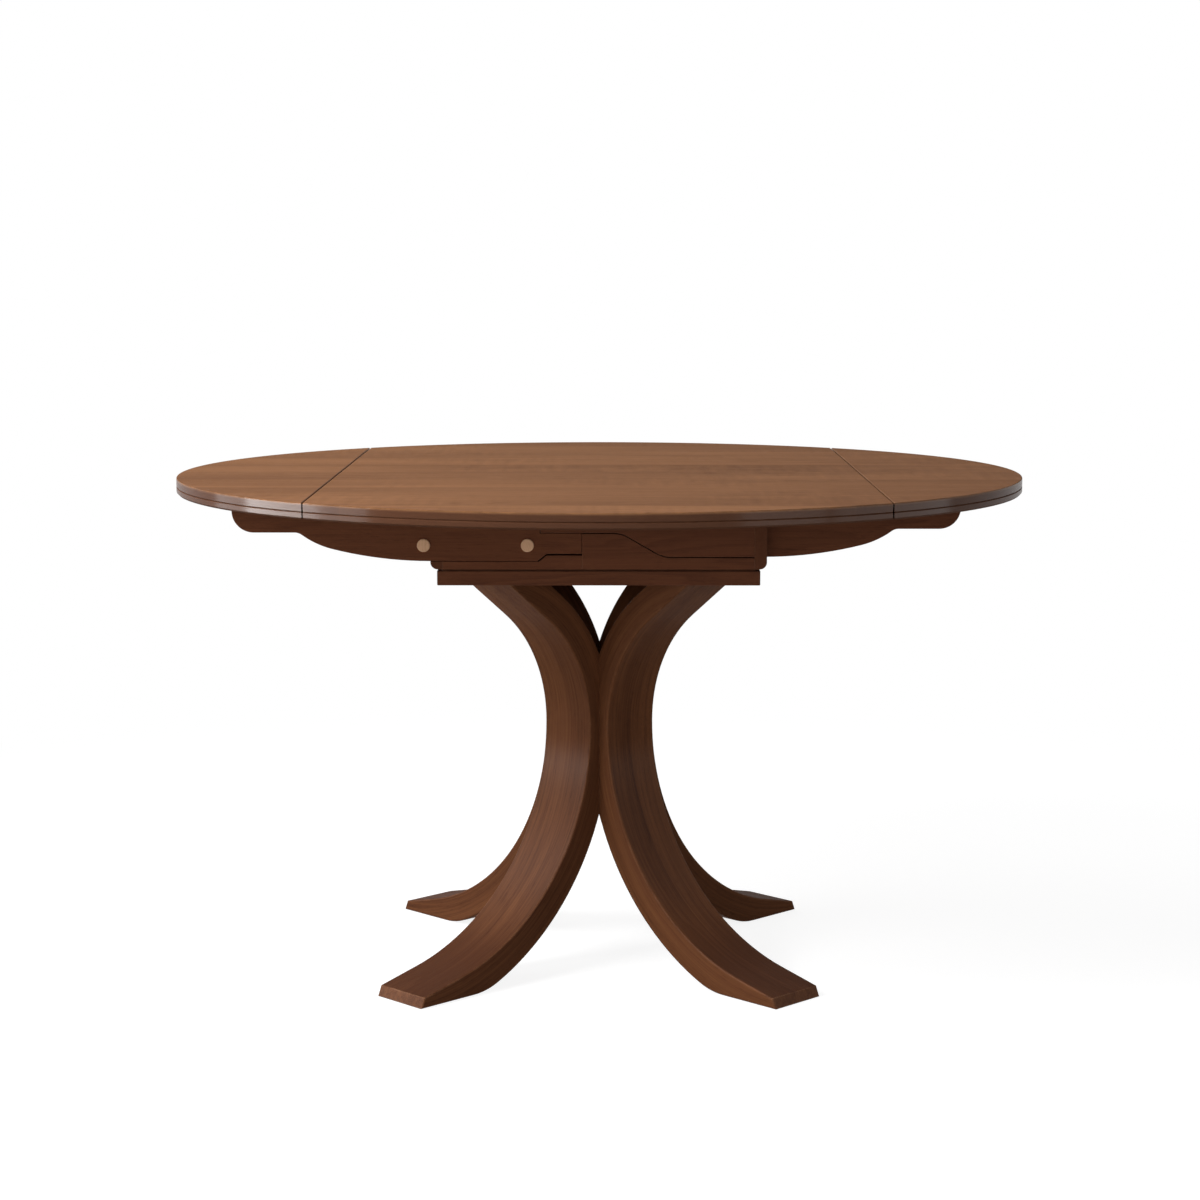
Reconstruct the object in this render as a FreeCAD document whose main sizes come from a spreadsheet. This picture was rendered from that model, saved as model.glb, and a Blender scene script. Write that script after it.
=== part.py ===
import FreeCAD, Part
import math
import os
import re

import Sketcher

# Extending pedestal table with a round top in three pieces: a fixed middle panel
# and two end leaves that pull out on wooden slides.
# Millimetres, +Z up, X along the extension, the origin on the floor under the middle of the top.
# The front is -Y. The rear half of the slides and of the box is the front half
# turned half way round the table's axis, so one shape serves both.

# Each driving size once: name, value, what it is.
SIZES = [
    ("table_height", 765, "floor to the top's upper face"),
    ("top_diameter", 1300, "round top, leaves closed"),
    ("top_thickness", 23, "panel and leaves"),
    ("seam_spacing", 806, "between the middles of the two seams"),
    ("seam_gap", 2, "between the panel and a leaf"),
    ("seam_arris", 0.8, "broken edge beside a seam"),
    ("rim_arris", 1.5, "broken upper edge of the rim"),
    ("rim_under_arris", 2.5, "bevelled lower edge of the rim"),
    ("rim_groove_height", 10, "middle of the rim's groove above the underside"),
    ("rim_groove_width", 2, "mouth of the groove"),
    ("rim_groove_depth", 1.3, "groove into the rim"),
    ("box_length", 494, "slide box along X"),
    ("box_depth", 495, "slide box along Y"),
    ("rail_thickness", 18, "end rail of the box"),
    ("rail_land", 1, "left between an end rail's rounded edge and its notch"),
    ("board_thickness", 30, "long board of the box, between the arms"),
    ("sill_height", 11.5, "bar below the outer arm"),
    ("infill_foot_height", 17, "infill board's strip below the bearer"),
    ("infill_gap", 0.6, "between an arm's inner end and the infill board"),
    ("arm_thickness", 25, "leaf arm"),
    ("arm_inset", 1, "outer arm's face behind the box's face"),
    ("arm_overhang", 134, "nose of an arm beyond the leaf's edge"),
    ("arm_tail", 25, "inner end of an arm from the middle"),
    ("arm_tip_height", 46, "thin outer stretch of an arm"),
    ("arm_belly_height", 88, "deep inner stretch of an arm"),
    ("arm_nose_radius", 32, "rounded nose"),
    ("arm_kink_overhang", 42, "where the belly starts, beyond the leaf's edge"),
    ("arm_kink_radius", 18, "hollow between the thin stretch and the belly"),
    ("arm_kink_angle", 36, "steepest slope of the belly"),
    ("arm_shoulder_radius", 130, "first curve of the belly"),
    ("arm_shoulder_angle", 14, "slope where the long curve takes over"),
    ("arm_relief_start", 90, "relieved end of the belly, from the middle"),
    ("arm_relief_run", 14, "slope into the relief"),
    ("arm_relief_height", 11, "relief under the inner end"),
    ("arm_lap_start", 86, "lowered top of the inner end, from the middle"),
    ("arm_arris", 0.8, "broken edges of an arm"),
    ("top_clearance", 1, "between an arm and the fixed panel above it"),
    ("slide_gap", 0.5, "between faces that slide past each other"),
    ("sill_clearance", 0.5, "between an arm's belly and the bar below"),
    ("relief_gap", 2.5, "between an arm's relieved end and the bar below"),
    ("bearer_lap_clearance", 1, "between the bearer and the arm's inner end"),
    ("bearer_height", 46, "thin end of the bearer"),
    ("bearer_dip_start", 21, "where the bearer's underside starts to drop"),
    ("bearer_gap", 1.5, "between the bearer and the infill board"),
    ("bearer_dip_radius", 45, "both bends of the drop"),
    ("bearer_dip_angle", 30, "slope of the drop"),
    ("groove_depth", 7, "runner's groove in an arm or a board"),
    ("groove_height", 24, "height of that groove"),
    ("runner_middle", 64.5, "runner's middle below the underside"),
    ("runner_out", 238, "runner's outer end from the middle"),
    ("runner_in", 190, "runner's inner end beyond the middle"),
    ("runner_clearance", 0.3, "runner in its grooves, each side"),
    ("leaf_travel", 300, "how far a leaf pulls out"),
    ("runner_share", 0.7, "runner's part of that travel"),
    ("peg_diameter", 19, "maple peg through an arm"),
    ("peg_proud", 5, "peg in front of the arm"),
    ("peg_fit", 0.05, "glued or driven piece in its bore, each side"),
    ("stop_peg_reach", 104.5, "stop peg from the middle"),
    ("closing_peg_reach", 12, "closing peg beyond the arm, where it meets the end rail"),
    ("blind_skin", 4, "wood left behind a blind bore in an inner arm"),
    ("spigot_diameter", 10, "tip that runs in a slot of the runner"),
    ("spigot_length", 10, "tip beyond the groove's floor"),
    ("slot_clearance", 0.3, "tip in its slot, each side"),
    ("runner_stop_reach", 70, "box's own stop from the middle"),
    ("runner_stop_bed", 6, "stop in the board's web"),
    ("batten_width", 45, "cross batten under a leaf"),
    ("batten_thickness", 22, "cross batten"),
    ("batten_overhang", 74, "batten's middle beyond the leaf's edge"),
    ("pin_diameter", 8, "alignment pin in a leaf's edge"),
    ("pin_out", 12, "pin beyond the leaf's edge"),
    ("pin_in", 20, "pin inside the leaf"),
    ("pin_spacing", 300, "between neighbouring pins"),
    ("pin_clearance", 0.3, "pin in the panel's bore, each side"),
    ("block_width", 36, "corner block in the box"),
    ("block_height", 38, "corner block"),
    ("plate_inset", 9, "plate's edge inside the box's face, all round"),
    ("plate_thickness", 25, "plate on the legs"),
    ("plate_arris", 1.5, "broken edges of the plate"),
    ("reveal_height", 4, "shadow gap round the plate's upper edge"),
    ("reveal_depth", 7, "the same gap, into the plate"),
    ("leg_width", 100, "leg across"),
    ("leg_thickness", 45, "leg through"),
    ("leg_arris", 2, "broken long edges of a leg"),
    ("waist_height", 376, "narrowest place above the floor"),
    ("waist_reach", 68.7, "outer face at the waist from the axis"),
    ("head_angle", 52.5, "lean of the leg's straight upper end"),
    ("head_rise", 66, "height of that straight stretch"),
    ("foot_angle", 77, "lean where the foot's top turns straight"),
    ("foot_rise", 32.5, "height of that place"),
    ("foot_reach", 417.5, "foot's end at the floor, from the axis"),
    ("foot_end_slope", 6.5, "foot's end leans in by this much"),
    ("foot_tip_height", 16.5, "foot's end"),
    ("sole_ease", 120, "soft bend between the sole and the leg's inner curve"),
    ("glide_diameter", 30, "glide under a foot"),
    ("glide_thickness", 4, "glide"),
    ("glide_proud", 1, "glide below the foot"),
    ("glide_reach", 365, "glide from the axis"),
    ("core_height", 160, "core block between the legs"),
    ("bolt_diameter", 8, "bolt from the plate into a leg"),
    ("bolt_head_diameter", 16, "its head"),
    ("bolt_head_height", 6, "its head"),
    ("bolt_length", 50, "its shank"),
    ("bolt_inset", 18, "bolts beyond the inner edge of a leg's head"),
    ("bolt_spacing", 50, "between the two bolts of a leg"),
    ("screw_diameter", 5, "wood screw"),
    ("screw_head_diameter", 10, "its head"),
    ("screw_head_height", 3, "its head"),
    ("screw_recess", 4, "depth of a head's seat"),
    ("plate_screw_bite", 17, "screw in the board above the plate"),
    ("plate_screw_spacing", 150, "between screws along a board"),
    ("top_screw_bite", 14, "screw in the panel or a leaf"),
    ("nose_screw_inset", 8, "outer screw of an arm inside its rounded nose"),
    ("inner_screw_overhang", 21, "inner screw of an arm beyond the leaf's edge"),
    ("peg_bevel", 0.75, "broken ends of a peg"),
    ("pin_bevel", 1.6, "tapered tip of an alignment pin"),
    ("pin_room", 2, "bore beyond a pin's tip"),
    ("bolt_sink", 1, "bolt's head below the plate's face"),
    ("bolt_room", 2, "bore beyond a bolt's end"),
    ("cut_margin", 2, "how far a cut's outline runs past the material"),
]

# Places that follow from the sizes.
PLACES = {
    "underside": "table_height - top_thickness",
    "arm_reach": "leaf_edge + arm_overhang",
    "arm_kink_reach": "leaf_edge + arm_kink_overhang",
    "arm_screw_outer": "arm_reach - arm_nose_radius - nose_screw_inset",
    "arm_screw_inner": "leaf_edge + inner_screw_overhang",
    "batten_reach": "leaf_edge + batten_overhang",
    "top_radius": "top_diameter / 2",
    "panel_edge": "seam_spacing / 2 - seam_gap / 2",
    "leaf_edge": "seam_spacing / 2 + seam_gap / 2",
    "edge_middle": "table_height - top_thickness / 2",
    "box_height": "arm_belly_height + sill_clearance + sill_height",
    "box_bottom": "underside - box_height",
    "rail_round": "sill_height - rail_land",
    "bearer_dip": "box_height - infill_foot_height - bearer_height - bearer_gap",
    "infill_end": "infill_gap - arm_tail",
    "plate_length": "box_length - 2 * plate_inset",
    "plate_depth": "box_depth - 2 * plate_inset",
    "box_face": "box_depth / 2",
    "box_end": "box_length / 2",
    "rail_inside": "box_end - rail_thickness",
    "plate_bottom": "box_bottom - plate_thickness",
    "arm_outer_face": "box_face - arm_inset",
    "arm_inner_face": "arm_outer_face - arm_thickness",
    "board_outer_face": "arm_inner_face - slide_gap",
    "board_inner_face": "board_outer_face - board_thickness",
    "inner_arm_outer_face": "board_inner_face - slide_gap",
    "inner_arm_inner_face": "inner_arm_outer_face - arm_thickness",
    "outer_arm_middle": "arm_outer_face - arm_thickness / 2",
    "inner_arm_middle": "inner_arm_outer_face - arm_thickness / 2",
    "board_middle": "board_outer_face - board_thickness / 2",
    "front_layer": "box_face - board_outer_face",
    "front_middle": "(box_face + board_outer_face) / 2",
    "belly": "underside - arm_belly_height",
    "tip": "underside - arm_tip_height",
    "notch_floor": "belly - sill_clearance",
    "groove_top": "underside - runner_middle + groove_height / 2",
    "groove_floor": "underside - runner_middle - groove_height / 2",
    "runner_height": "groove_height - 2 * runner_clearance",
    "runner_thickness": "2 * groove_depth + slide_gap - 2 * runner_clearance",
    "runner_travel": "leaf_travel * runner_share",
    "peg_height": "underside - runner_middle",
    "closing_peg_x": "box_end + peg_diameter / 2 + slot_clearance",
    "slot_half": "spigot_diameter / 2 + slot_clearance",
    "lap_top": "underside - bearer_height - bearer_lap_clearance",
    "foot_sole": "glide_proud",
    "sweep": "(waist_height - foot_rise) / sin(foot_angle)",
    "sole_run": "sqrt((sweep + leg_thickness)^2 - (waist_height - foot_sole)^2)",
    "sole_inner": "waist_reach + sweep - sole_run",
    "flare": "(plate_bottom - head_rise - waist_height) / sin(head_angle)",
    "flare_inside": "flare + leg_thickness",
    "head_inner_x": "waist_reach + flare - flare_inside * cos(head_angle)",
    "head_inner_z": "waist_height + flare_inside * sin(head_angle)",
    "head_inner": "head_inner_x + (plate_bottom - head_inner_z) * tan(head_angle)",
    "bolt_reach": "head_inner + bolt_inset",
    "core_width": "2 * (waist_reach - leg_thickness)",
    "block_floor": "underside - block_height",
}

doc = FreeCAD.newDocument("ExtendingTable")
sheet = doc.addObject("Spreadsheet::Sheet", "Sizes")
for row, (name, size, note) in enumerate(SIZES, start=1):
    sheet.set("A%d" % row, name)
    sheet.set("B%d" % row, str(size))
    sheet.setAlias("B%d" % row, name)
    sheet.set("C%d" % row, note)
doc.recompute()

SIZE_NAMES = {name for name, size, note in SIZES}
SAME_PLACE = 0.01
LEAST_CUT = 1
parts = []


# Turns a formula in plain size names into one that the sheet understands.
def sized(formula):
    def swap(match):
        word = match.group(0)
        if word in PLACES:
            return "(" + sized(PLACES[word]) + ")"
        if word in SIZE_NAMES:
            return "Sizes." + word
        return word

    return re.sub(r"[a-z_]+", swap, str(formula))


def value(formula):
    found = sheet.evalExpression(sized(formula))
    return float(getattr(found, "Value", found))


def bind(thing, prop, formula):
    thing.setExpression(prop, sized(formula))


def new_body(label):
    body = doc.addObject("PartDesign::Body", label)
    body.Label = label
    body.AllowCompound = True
    parts.append(body)
    return body


# Moves a finished piece to its place, turned about the upright axis.
def place(piece, y="0", turn=0, x="0", z="0"):
    upright = FreeCAD.Vector(0, 0, 1)
    piece.Placement = FreeCAD.Placement(FreeCAD.Vector(), FreeCAD.Rotation(upright, turn))
    bind(piece, "Placement.Base.x", x)
    bind(piece, "Placement.Base.y", y)
    bind(piece, "Placement.Base.z", z)


def new_sketch(body, name, role, offset="0"):
    sketch = body.newObject("Sketcher::SketchObject", name)
    plane = [item for item in body.Origin.OriginFeatures if item.Role == role][0]
    sketch.AttachmentSupport = [(plane, "")]
    sketch.MapMode = "FlatFace"
    bind(sketch, "AttachmentOffset.Base.z", offset)
    return sketch


def bind_distance(sketch, kind, geometry, end, formula):
    rule = Sketcher.Constraint(kind, -1, 1, geometry, end, value(formula))
    number = sketch.addConstraint(rule)
    sketch.setExpression("Constraints[%d]" % number, sized(formula))


def bind_point(sketch, geometry, end, x, y):
    bind_distance(sketch, "DistanceX", geometry, end, x)
    bind_distance(sketch, "DistanceY", geometry, end, y)


def bind_radius(sketch, geometry, radius):
    number = sketch.addConstraint(Sketcher.Constraint("Radius", geometry, value(radius)))
    sketch.setExpression("Constraints[%d]" % number, sized(radius))


# The arc of a given radius from one point to another; side is 1 when its centre
# lies to the left of the way, -1 when it lies to the right.
def arc_between(start, end, radius, side):
    chord = end.sub(start)
    half = chord.Length / 2
    middle = start.add(chord.multiply(0.5))
    way = end.sub(start).normalize()
    left = FreeCAD.Vector(-way.y, way.x, 0)
    height = math.sqrt(max(radius * radius - half * half, 0))
    centre = middle.add(left.multiply(side * height))
    first, last = (start, end) if side > 0 else (end, start)
    low = math.atan2(first.y - centre.y, first.x - centre.x)
    high = math.atan2(last.y - centre.y, last.x - centre.x)
    if high <= low:
        high += 2 * math.pi
    circle = Part.Circle(centre, FreeCAD.Vector(0, 0, 1), radius)
    return Part.ArcOfCircle(circle, low, high)


# A closed outline through points given as formulas. Stretch number i runs from
# point i to the next one, and is an arc where arcs holds (radius, side) for it.
# A half circle is fixed by its centre's place along X, which centres holds.
def draw_outline(sketch, points, arcs=None, centres=None):
    arcs = arcs or {}
    centres = centres or {}
    first = sketch.GeometryCount
    count = len(points)
    spots = [FreeCAD.Vector(value(x), value(y), 0) for x, y in points]
    ends = []
    for number in range(count):
        start, end = spots[number], spots[(number + 1) % count]
        if number in arcs:
            radius, side = arcs[number]
            sketch.addGeometry(arc_between(start, end, value(radius), side), False)
            ends.append((1, 2) if side > 0 else (2, 1))
        else:
            sketch.addGeometry(Part.LineSegment(start, end), False)
            ends.append((1, 2))
    for number in range(count):
        following = (number + 1) % count
        joint = (first + number, ends[number][1], first + following, ends[following][0])
        sketch.addConstraint(Sketcher.Constraint("Coincident", *joint))
    for number, (x, y) in enumerate(points):
        bind_point(sketch, first + number, ends[number][0], x, y)
    for number, (radius, side) in arcs.items():
        if number in centres:
            bind_distance(sketch, "DistanceX", first + number, 3, centres[number])
        else:
            bind_radius(sketch, first + number, radius)


def draw_box(sketch, left, bottom, right, top):
    draw_outline(sketch, [(left, bottom), (right, bottom), (right, top), (left, top)])


def draw_circle(sketch, x, y, radius):
    centre = FreeCAD.Vector(value(x), value(y), 0)
    circle = Part.Circle(centre, FreeCAD.Vector(0, 0, 1), value(radius))
    number = sketch.addGeometry(circle, False)
    bind_point(sketch, number, 3, x, y)
    bind_radius(sketch, number, radius)


# A slot with round ends that lies along the sketch's first direction.
def draw_slot(sketch, left, right, y, radius):
    low = "%s - (%s)" % (y, radius)
    high = "%s + (%s)" % (y, radius)
    points = [(left, low), (right, low), (right, high), (left, high)]
    draw_outline(sketch, points, {1: (radius, 1), 3: (radius, 1)}, {1: right, 3: left})


def pad(body, name, sketch, length, middle=False, back=False):
    feature = body.newObject("PartDesign::Pad", name)
    feature.Profile = sketch
    bind(feature, "Length", length)
    feature.Midplane = middle
    feature.Reversed = back
    doc.recompute()
    return feature


# Cuts a sketch into the body, and stops if it met no material.
def cut(body, name, sketch, depth=None, back=False):
    before = body.Shape.Volume
    feature = body.newObject("PartDesign::Pocket", name)
    feature.Profile = sketch
    if depth is None:
        feature.Type = "ThroughAll"
        feature.Midplane = True
    else:
        bind(feature, "Length", depth)
        feature.Reversed = back
    doc.recompute()
    if body.Shape.Volume > before - LEAST_CUT:
        raise RuntimeError(body.Label + ": " + name + " cuts nothing")
    return feature


def edge_names(shape, wanted):
    return ["Edge%d" % number for number, edge in enumerate(shape.Edges, start=1) if wanted(edge)]


def middle_of(edge):
    return edge.valueAt((edge.FirstParameter + edge.LastParameter) / 2)


def break_edges(body, name, wanted, size, rounded=True):
    base = body.Tip
    kind = "Fillet" if rounded else "Chamfer"
    feature = body.newObject("PartDesign::" + kind, name)
    feature.Base = (base, edge_names(base.Shape, wanted))
    bind(feature, "Radius" if rounded else "Size", size)
    doc.recompute()
    return feature


def close_to(one, other):
    return abs(one - other) < SAME_PLACE


# The rim's section is cut by turning three small shapes about the table's axis:
# the rounded upper edge, the groove and the bevelled lower edge.
def shape_rim(body):
    sketch = new_sketch(body, "RimSection", "XZ_Plane")
    beyond = "top_radius + cut_margin"
    draw_outline(sketch, [
        ("top_radius - rim_arris", "table_height"),
        ("top_radius", "table_height - rim_arris"),
        (beyond, "table_height - rim_arris"),
        (beyond, "table_height + cut_margin"),
        ("top_radius - rim_arris", "table_height + cut_margin"),
    ], {0: ("rim_arris", -1)})
    draw_outline(sketch, [
        ("top_radius - rim_groove_depth", "underside + rim_groove_height"),
        ("top_radius", "underside + rim_groove_height - rim_groove_width / 2"),
        (beyond, "underside + rim_groove_height - rim_groove_width / 2"),
        (beyond, "underside + rim_groove_height + rim_groove_width / 2"),
        ("top_radius", "underside + rim_groove_height + rim_groove_width / 2"),
    ])
    draw_outline(sketch, [
        ("top_radius - rim_under_arris", "underside - cut_margin"),
        (beyond, "underside - cut_margin"),
        (beyond, "underside + rim_under_arris"),
        ("top_radius", "underside + rim_under_arris"),
        ("top_radius - rim_under_arris", "underside"),
    ])
    before = body.Shape.Volume
    groove = body.newObject("PartDesign::Groove", "Rim")
    groove.Profile = sketch
    groove.ReferenceAxis = (sketch, ["V_Axis"])
    groove.Angle = 360
    doc.recompute()
    if body.Shape.Volume > before - LEAST_CUT:
        raise RuntimeError(body.Label + ": the rim cuts nothing")


PIN_ROWS = ("-pin_spacing", "0", "pin_spacing")
BLOCK_CORNERS = (("-1", "-1"), ("1", "-1"), ("1", "1"), ("-1", "1"))


# A corner block touches the board where no inner arm passes, and stands clear
# of the arm in the two corners where one does.
def block_spot(side_x, side_y):
    if side_x == side_y:
        reach = "board_inner_face - block_width / 2"
    else:
        reach = "inner_arm_inner_face - slide_gap - block_width / 2"
    return "%s * (rail_inside - block_width / 2)" % side_x, "%s * (%s)" % (side_y, reach)


def seam_edge(at_x):
    def wanted(edge):
        spot = middle_of(edge)
        ends = [vertex.Point.x for vertex in edge.Vertexes]
        at_seam = all(close_to(abs(x), value(at_x)) for x in ends)
        return at_seam and close_to(spot.z, value("table_height"))

    return wanted


def make_centre_panel():
    body = new_body("top_centre_panel")
    sketch = new_sketch(body, "Outline", "XY_Plane", "underside")
    half = "sqrt(top_radius^2 - panel_edge^2)"
    draw_outline(sketch, [
        ("-panel_edge", "-" + half),
        ("panel_edge", "-" + half),
        ("panel_edge", half),
        ("-panel_edge", half),
    ], {0: ("top_radius", 1), 2: ("top_radius", 1)})
    pad(body, "Board", sketch, "top_thickness")
    break_edges(body, "SeamArris", seam_edge("panel_edge"), "seam_arris", False)
    shape_rim(body)
    for side, sign, back in (("Left", "-1", True), ("Right", "1", False)):
        bores = new_sketch(body, side + "PinBores", "YZ_Plane", sign + " * panel_edge")
        for y in PIN_ROWS:
            draw_circle(bores, y, "edge_middle", "pin_diameter / 2 + pin_clearance")
        cut(body, side + "PinHoles", bores, "pin_out + pin_room", back)
    pilots = new_sketch(body, "ScrewPilots", "XY_Plane", "underside")
    for corner in BLOCK_CORNERS:
        draw_circle(pilots, *block_spot(*corner), "screw_diameter / 2 + peg_fit")
    cut(body, "ScrewHoles", pilots, "top_screw_bite", True)


# A leaf is drawn on the left and turned half way round for the right.
def make_leaf(side, turn):
    body = new_body(side + "_leaf_panel")
    sketch = new_sketch(body, "Outline", "XY_Plane", "underside")
    half = "sqrt(top_radius^2 - leaf_edge^2)"
    draw_outline(sketch, [("-leaf_edge", "-" + half), ("-leaf_edge", half)], {1: ("top_radius", 1)})
    pad(body, "Board", sketch, "top_thickness")
    break_edges(body, "SeamArris", seam_edge("leaf_edge"), "seam_arris", False)
    shape_rim(body)
    bores = new_sketch(body, "PinBores", "YZ_Plane", "-leaf_edge")
    for y in PIN_ROWS:
        draw_circle(bores, y, "edge_middle", "pin_diameter / 2 + peg_fit")
    cut(body, "PinHoles", bores, "pin_in")
    pilots = new_sketch(body, "ScrewPilots", "XY_Plane", "underside")
    for x, y in leaf_screw_spots():
        draw_circle(pilots, x, y, "screw_diameter / 2 + peg_fit")
    cut(body, "ScrewHoles", pilots, "top_screw_bite", True)
    place(body, turn=turn)


ARM_ROWS = ("-outer_arm_middle", "inner_arm_middle")


def leaf_screw_spots():
    columns = ("-arm_screw_outer", "-arm_screw_inner")
    return [(x, y) for y in ARM_ROWS for x in columns]


# Outline of an arm seen from the front, nose to the left: the thin stretch that
# carries the leaf, the belly in three curves, the relieved and lowered inner end.
def arm_outline():
    hollow_x = "-arm_kink_reach + arm_kink_radius * sin(arm_kink_angle)"
    hollow_z = "tip - arm_kink_radius * (1 - cos(arm_kink_angle))"
    bend = "arm_shoulder_radius"
    curve_x = hollow_x + " + %s * (sin(arm_kink_angle) - sin(arm_shoulder_angle))" % bend
    curve_z = hollow_z + " - %s * (cos(arm_shoulder_angle) - cos(arm_kink_angle))" % bend
    long_bend = "(%s - belly) / (1 - cos(arm_shoulder_angle))" % curve_z
    flat_x = "%s + %s * sin(arm_shoulder_angle)" % (curve_x, long_bend)
    points = [
        ("-arm_reach", "underside"),
        ("-arm_reach", "tip + arm_nose_radius"),
        ("-arm_reach + arm_nose_radius", "tip"),
        ("-arm_kink_reach", "tip"),
        (hollow_x, hollow_z),
        (curve_x, curve_z),
        (flat_x, "belly"),
        ("-arm_relief_start", "belly"),
        ("-arm_relief_start + arm_relief_run", "belly + arm_relief_height"),
        ("-arm_tail", "belly + arm_relief_height"),
        ("-arm_tail", "lap_top"),
        ("-arm_lap_start", "lap_top"),
        ("-arm_lap_start", "underside - top_clearance"),
        ("-leaf_edge", "underside - top_clearance"),
        ("-leaf_edge", "underside"),
    ]
    arcs = {
        1: ("arm_nose_radius", 1),
        3: ("arm_kink_radius", -1),
        4: (bend, 1),
        5: (long_bend, 1),
    }
    return points, arcs


# An inner arm's closing peg sits in a blind bore, so that its other face stays whole.
def make_arm(label, y, turn, inner):
    body = new_body(label)
    sketch = new_sketch(body, "Outline", "XZ_Plane")
    draw_outline(sketch, *arm_outline())
    pad(body, "Board", sketch, "arm_thickness", middle=True)
    # The long lower edges, from the nose to the start of the relief.
    faces = value("arm_thickness / 2")

    def lower_edge(edge):
        spot = middle_of(edge)
        on_face = all(close_to(abs(vertex.Y), faces) for vertex in edge.Vertexes)
        below = spot.z < value("tip + arm_nose_radius") and spot.x < value("-arm_relief_start")
        return on_face and below and close_to(abs(spot.y), faces)

    break_edges(body, "Arris", lower_edge, "arm_arris")
    groove = new_sketch(body, "GrooveOutline", "XZ_Plane", "-arm_thickness / 2")
    groove_start = "-runner_out - runner_clearance"
    draw_box(groove, groove_start, "groove_floor", "-arm_tail + cut_margin", "groove_top")
    cut(body, "Groove", groove, "groove_depth", True)
    bore = new_sketch(body, "StopPegBore", "XZ_Plane")
    draw_circle(bore, "-stop_peg_reach", "peg_height", "peg_diameter / 2 + peg_fit")
    cut(body, "StopPegHole", bore)
    bore = new_sketch(body, "ClosingPegBore", "XZ_Plane", "arm_thickness / 2")
    draw_circle(bore, "-closing_peg_x", "peg_height", "peg_diameter / 2 + peg_fit")
    cut(body, "ClosingPegHole", bore, "arm_thickness - blind_skin" if inner else "arm_thickness")
    screws = new_sketch(body, "ScrewBores", "XY_Plane", "tip")
    seats = new_sketch(body, "ScrewSeats", "XY_Plane", "tip")
    draw_circle(screws, "-arm_screw_outer", "0", "screw_diameter / 2 + peg_fit")
    draw_circle(seats, "-arm_screw_outer", "0", "screw_head_diameter / 2 + peg_fit")
    cut(body, "ScrewHole", screws, "arm_tip_height", True)
    cut(body, "ScrewSeat", seats, "screw_recess", True)
    # The inner screw goes up through the belly's thick start.
    deep = new_sketch(body, "DeepScrewBore", "XY_Plane", "belly")
    deep_seat = new_sketch(body, "DeepScrewSeat", "XY_Plane", "belly")
    draw_circle(deep, "-arm_screw_inner", "0", "screw_diameter / 2 + peg_fit")
    draw_circle(deep_seat, "-arm_screw_inner", "0", "screw_head_diameter / 2 + peg_fit")
    cut(body, "DeepScrewHole", deep, "arm_belly_height", True)
    cut(body, "DeepScrewSeatCut", deep_seat, "tip - belly + screw_recess", True)
    place(body, y, turn)


# Both pegs of an arm. The closing peg stands out on the side where it meets the end
# rail when the leaf is shut: an outer arm's back, an inner arm's front.
# The stop peg has a tip that runs in the runner.
def make_pegs(name, y, turn, inner):
    closing = new_body(name + "_closing_peg")
    proud = "closing_peg_reach" if inner else "peg_proud"
    back = "-blind_skin" if inner else "closing_peg_reach"
    sketch = new_sketch(closing, "Section", "XZ_Plane", "arm_thickness / 2 + " + proud)
    draw_circle(sketch, "-closing_peg_x", "peg_height", "peg_diameter / 2")
    pad(closing, "Peg", sketch, "%s + arm_thickness + (%s)" % (proud, back), back=True)
    break_edges(closing, "Arris", lambda edge: len(edge.Vertexes) == 1, "peg_bevel", False)
    place(closing, y, turn)
    stop = new_body(name + "_stop_peg")
    sketch = new_sketch(stop, "Section", "XZ_Plane", "arm_thickness / 2 + peg_proud")
    draw_circle(sketch, "-stop_peg_reach", "peg_height", "peg_diameter / 2")
    pad(stop, "Peg", sketch, "peg_proud + arm_thickness - groove_depth", back=True)
    break_edges(stop, "Arris", lambda edge: len(edge.Vertexes) == 1, "peg_bevel", False)
    tip = new_sketch(stop, "TipSection", "XZ_Plane", "groove_depth - arm_thickness / 2")
    draw_circle(tip, "-stop_peg_reach", "peg_height", "spigot_diameter / 2")
    pad(stop, "Tip", tip, "spigot_length", back=True)
    place(stop, y, turn)


# The runner lies half in the arm's groove and half in the board's. Its outer
# slot holds the arm's stop peg, its inner slot the box's own stop.
def make_runner(label, y, turn):
    body = new_body(label)
    low = "peg_height - runner_height / 2"
    high = "peg_height + runner_height / 2"
    sketch = new_sketch(body, "Outline", "XZ_Plane")
    draw_box(sketch, "-runner_out", low, "runner_in", high)
    pad(body, "Bar", sketch, "runner_thickness", middle=True)
    slots = new_sketch(body, "Slots", "XZ_Plane")
    arm_way = "leaf_travel - runner_travel"
    draw_slot(slots, "-stop_peg_reach - (%s)" % arm_way, "-stop_peg_reach", "peg_height", "slot_half")
    draw_slot(slots, "-runner_stop_reach", "runner_travel - runner_stop_reach", "peg_height", "slot_half")
    cut(body, "SlotCuts", slots)
    place(body, y, turn)


def make_batten(side, turn):
    body = new_body(side + "_leaf_batten")
    sketch = new_sketch(body, "Outline", "XY_Plane", "underside - batten_thickness")
    left = "-batten_reach - batten_width / 2"
    right = "-batten_reach + batten_width / 2"
    draw_box(sketch, left, "-arm_inner_face", right, "inner_arm_inner_face")
    pad(body, "Bar", sketch, "batten_thickness")
    place(body, turn=turn)


def make_alignment_pins(side, turn):
    body = new_body(side + "_alignment_pins")
    sketch = new_sketch(body, "Sections", "YZ_Plane", "-leaf_edge - pin_in")
    for y in PIN_ROWS:
        draw_circle(sketch, y, "edge_middle", "pin_diameter / 2")
    pad(body, "Pins", sketch, "pin_in + pin_out")
    tips = value("-leaf_edge + pin_out")
    break_edges(body, "Tips", lambda edge: close_to(middle_of(edge).x, tips), "pin_bevel", False)
    place(body, turn=turn)


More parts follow.
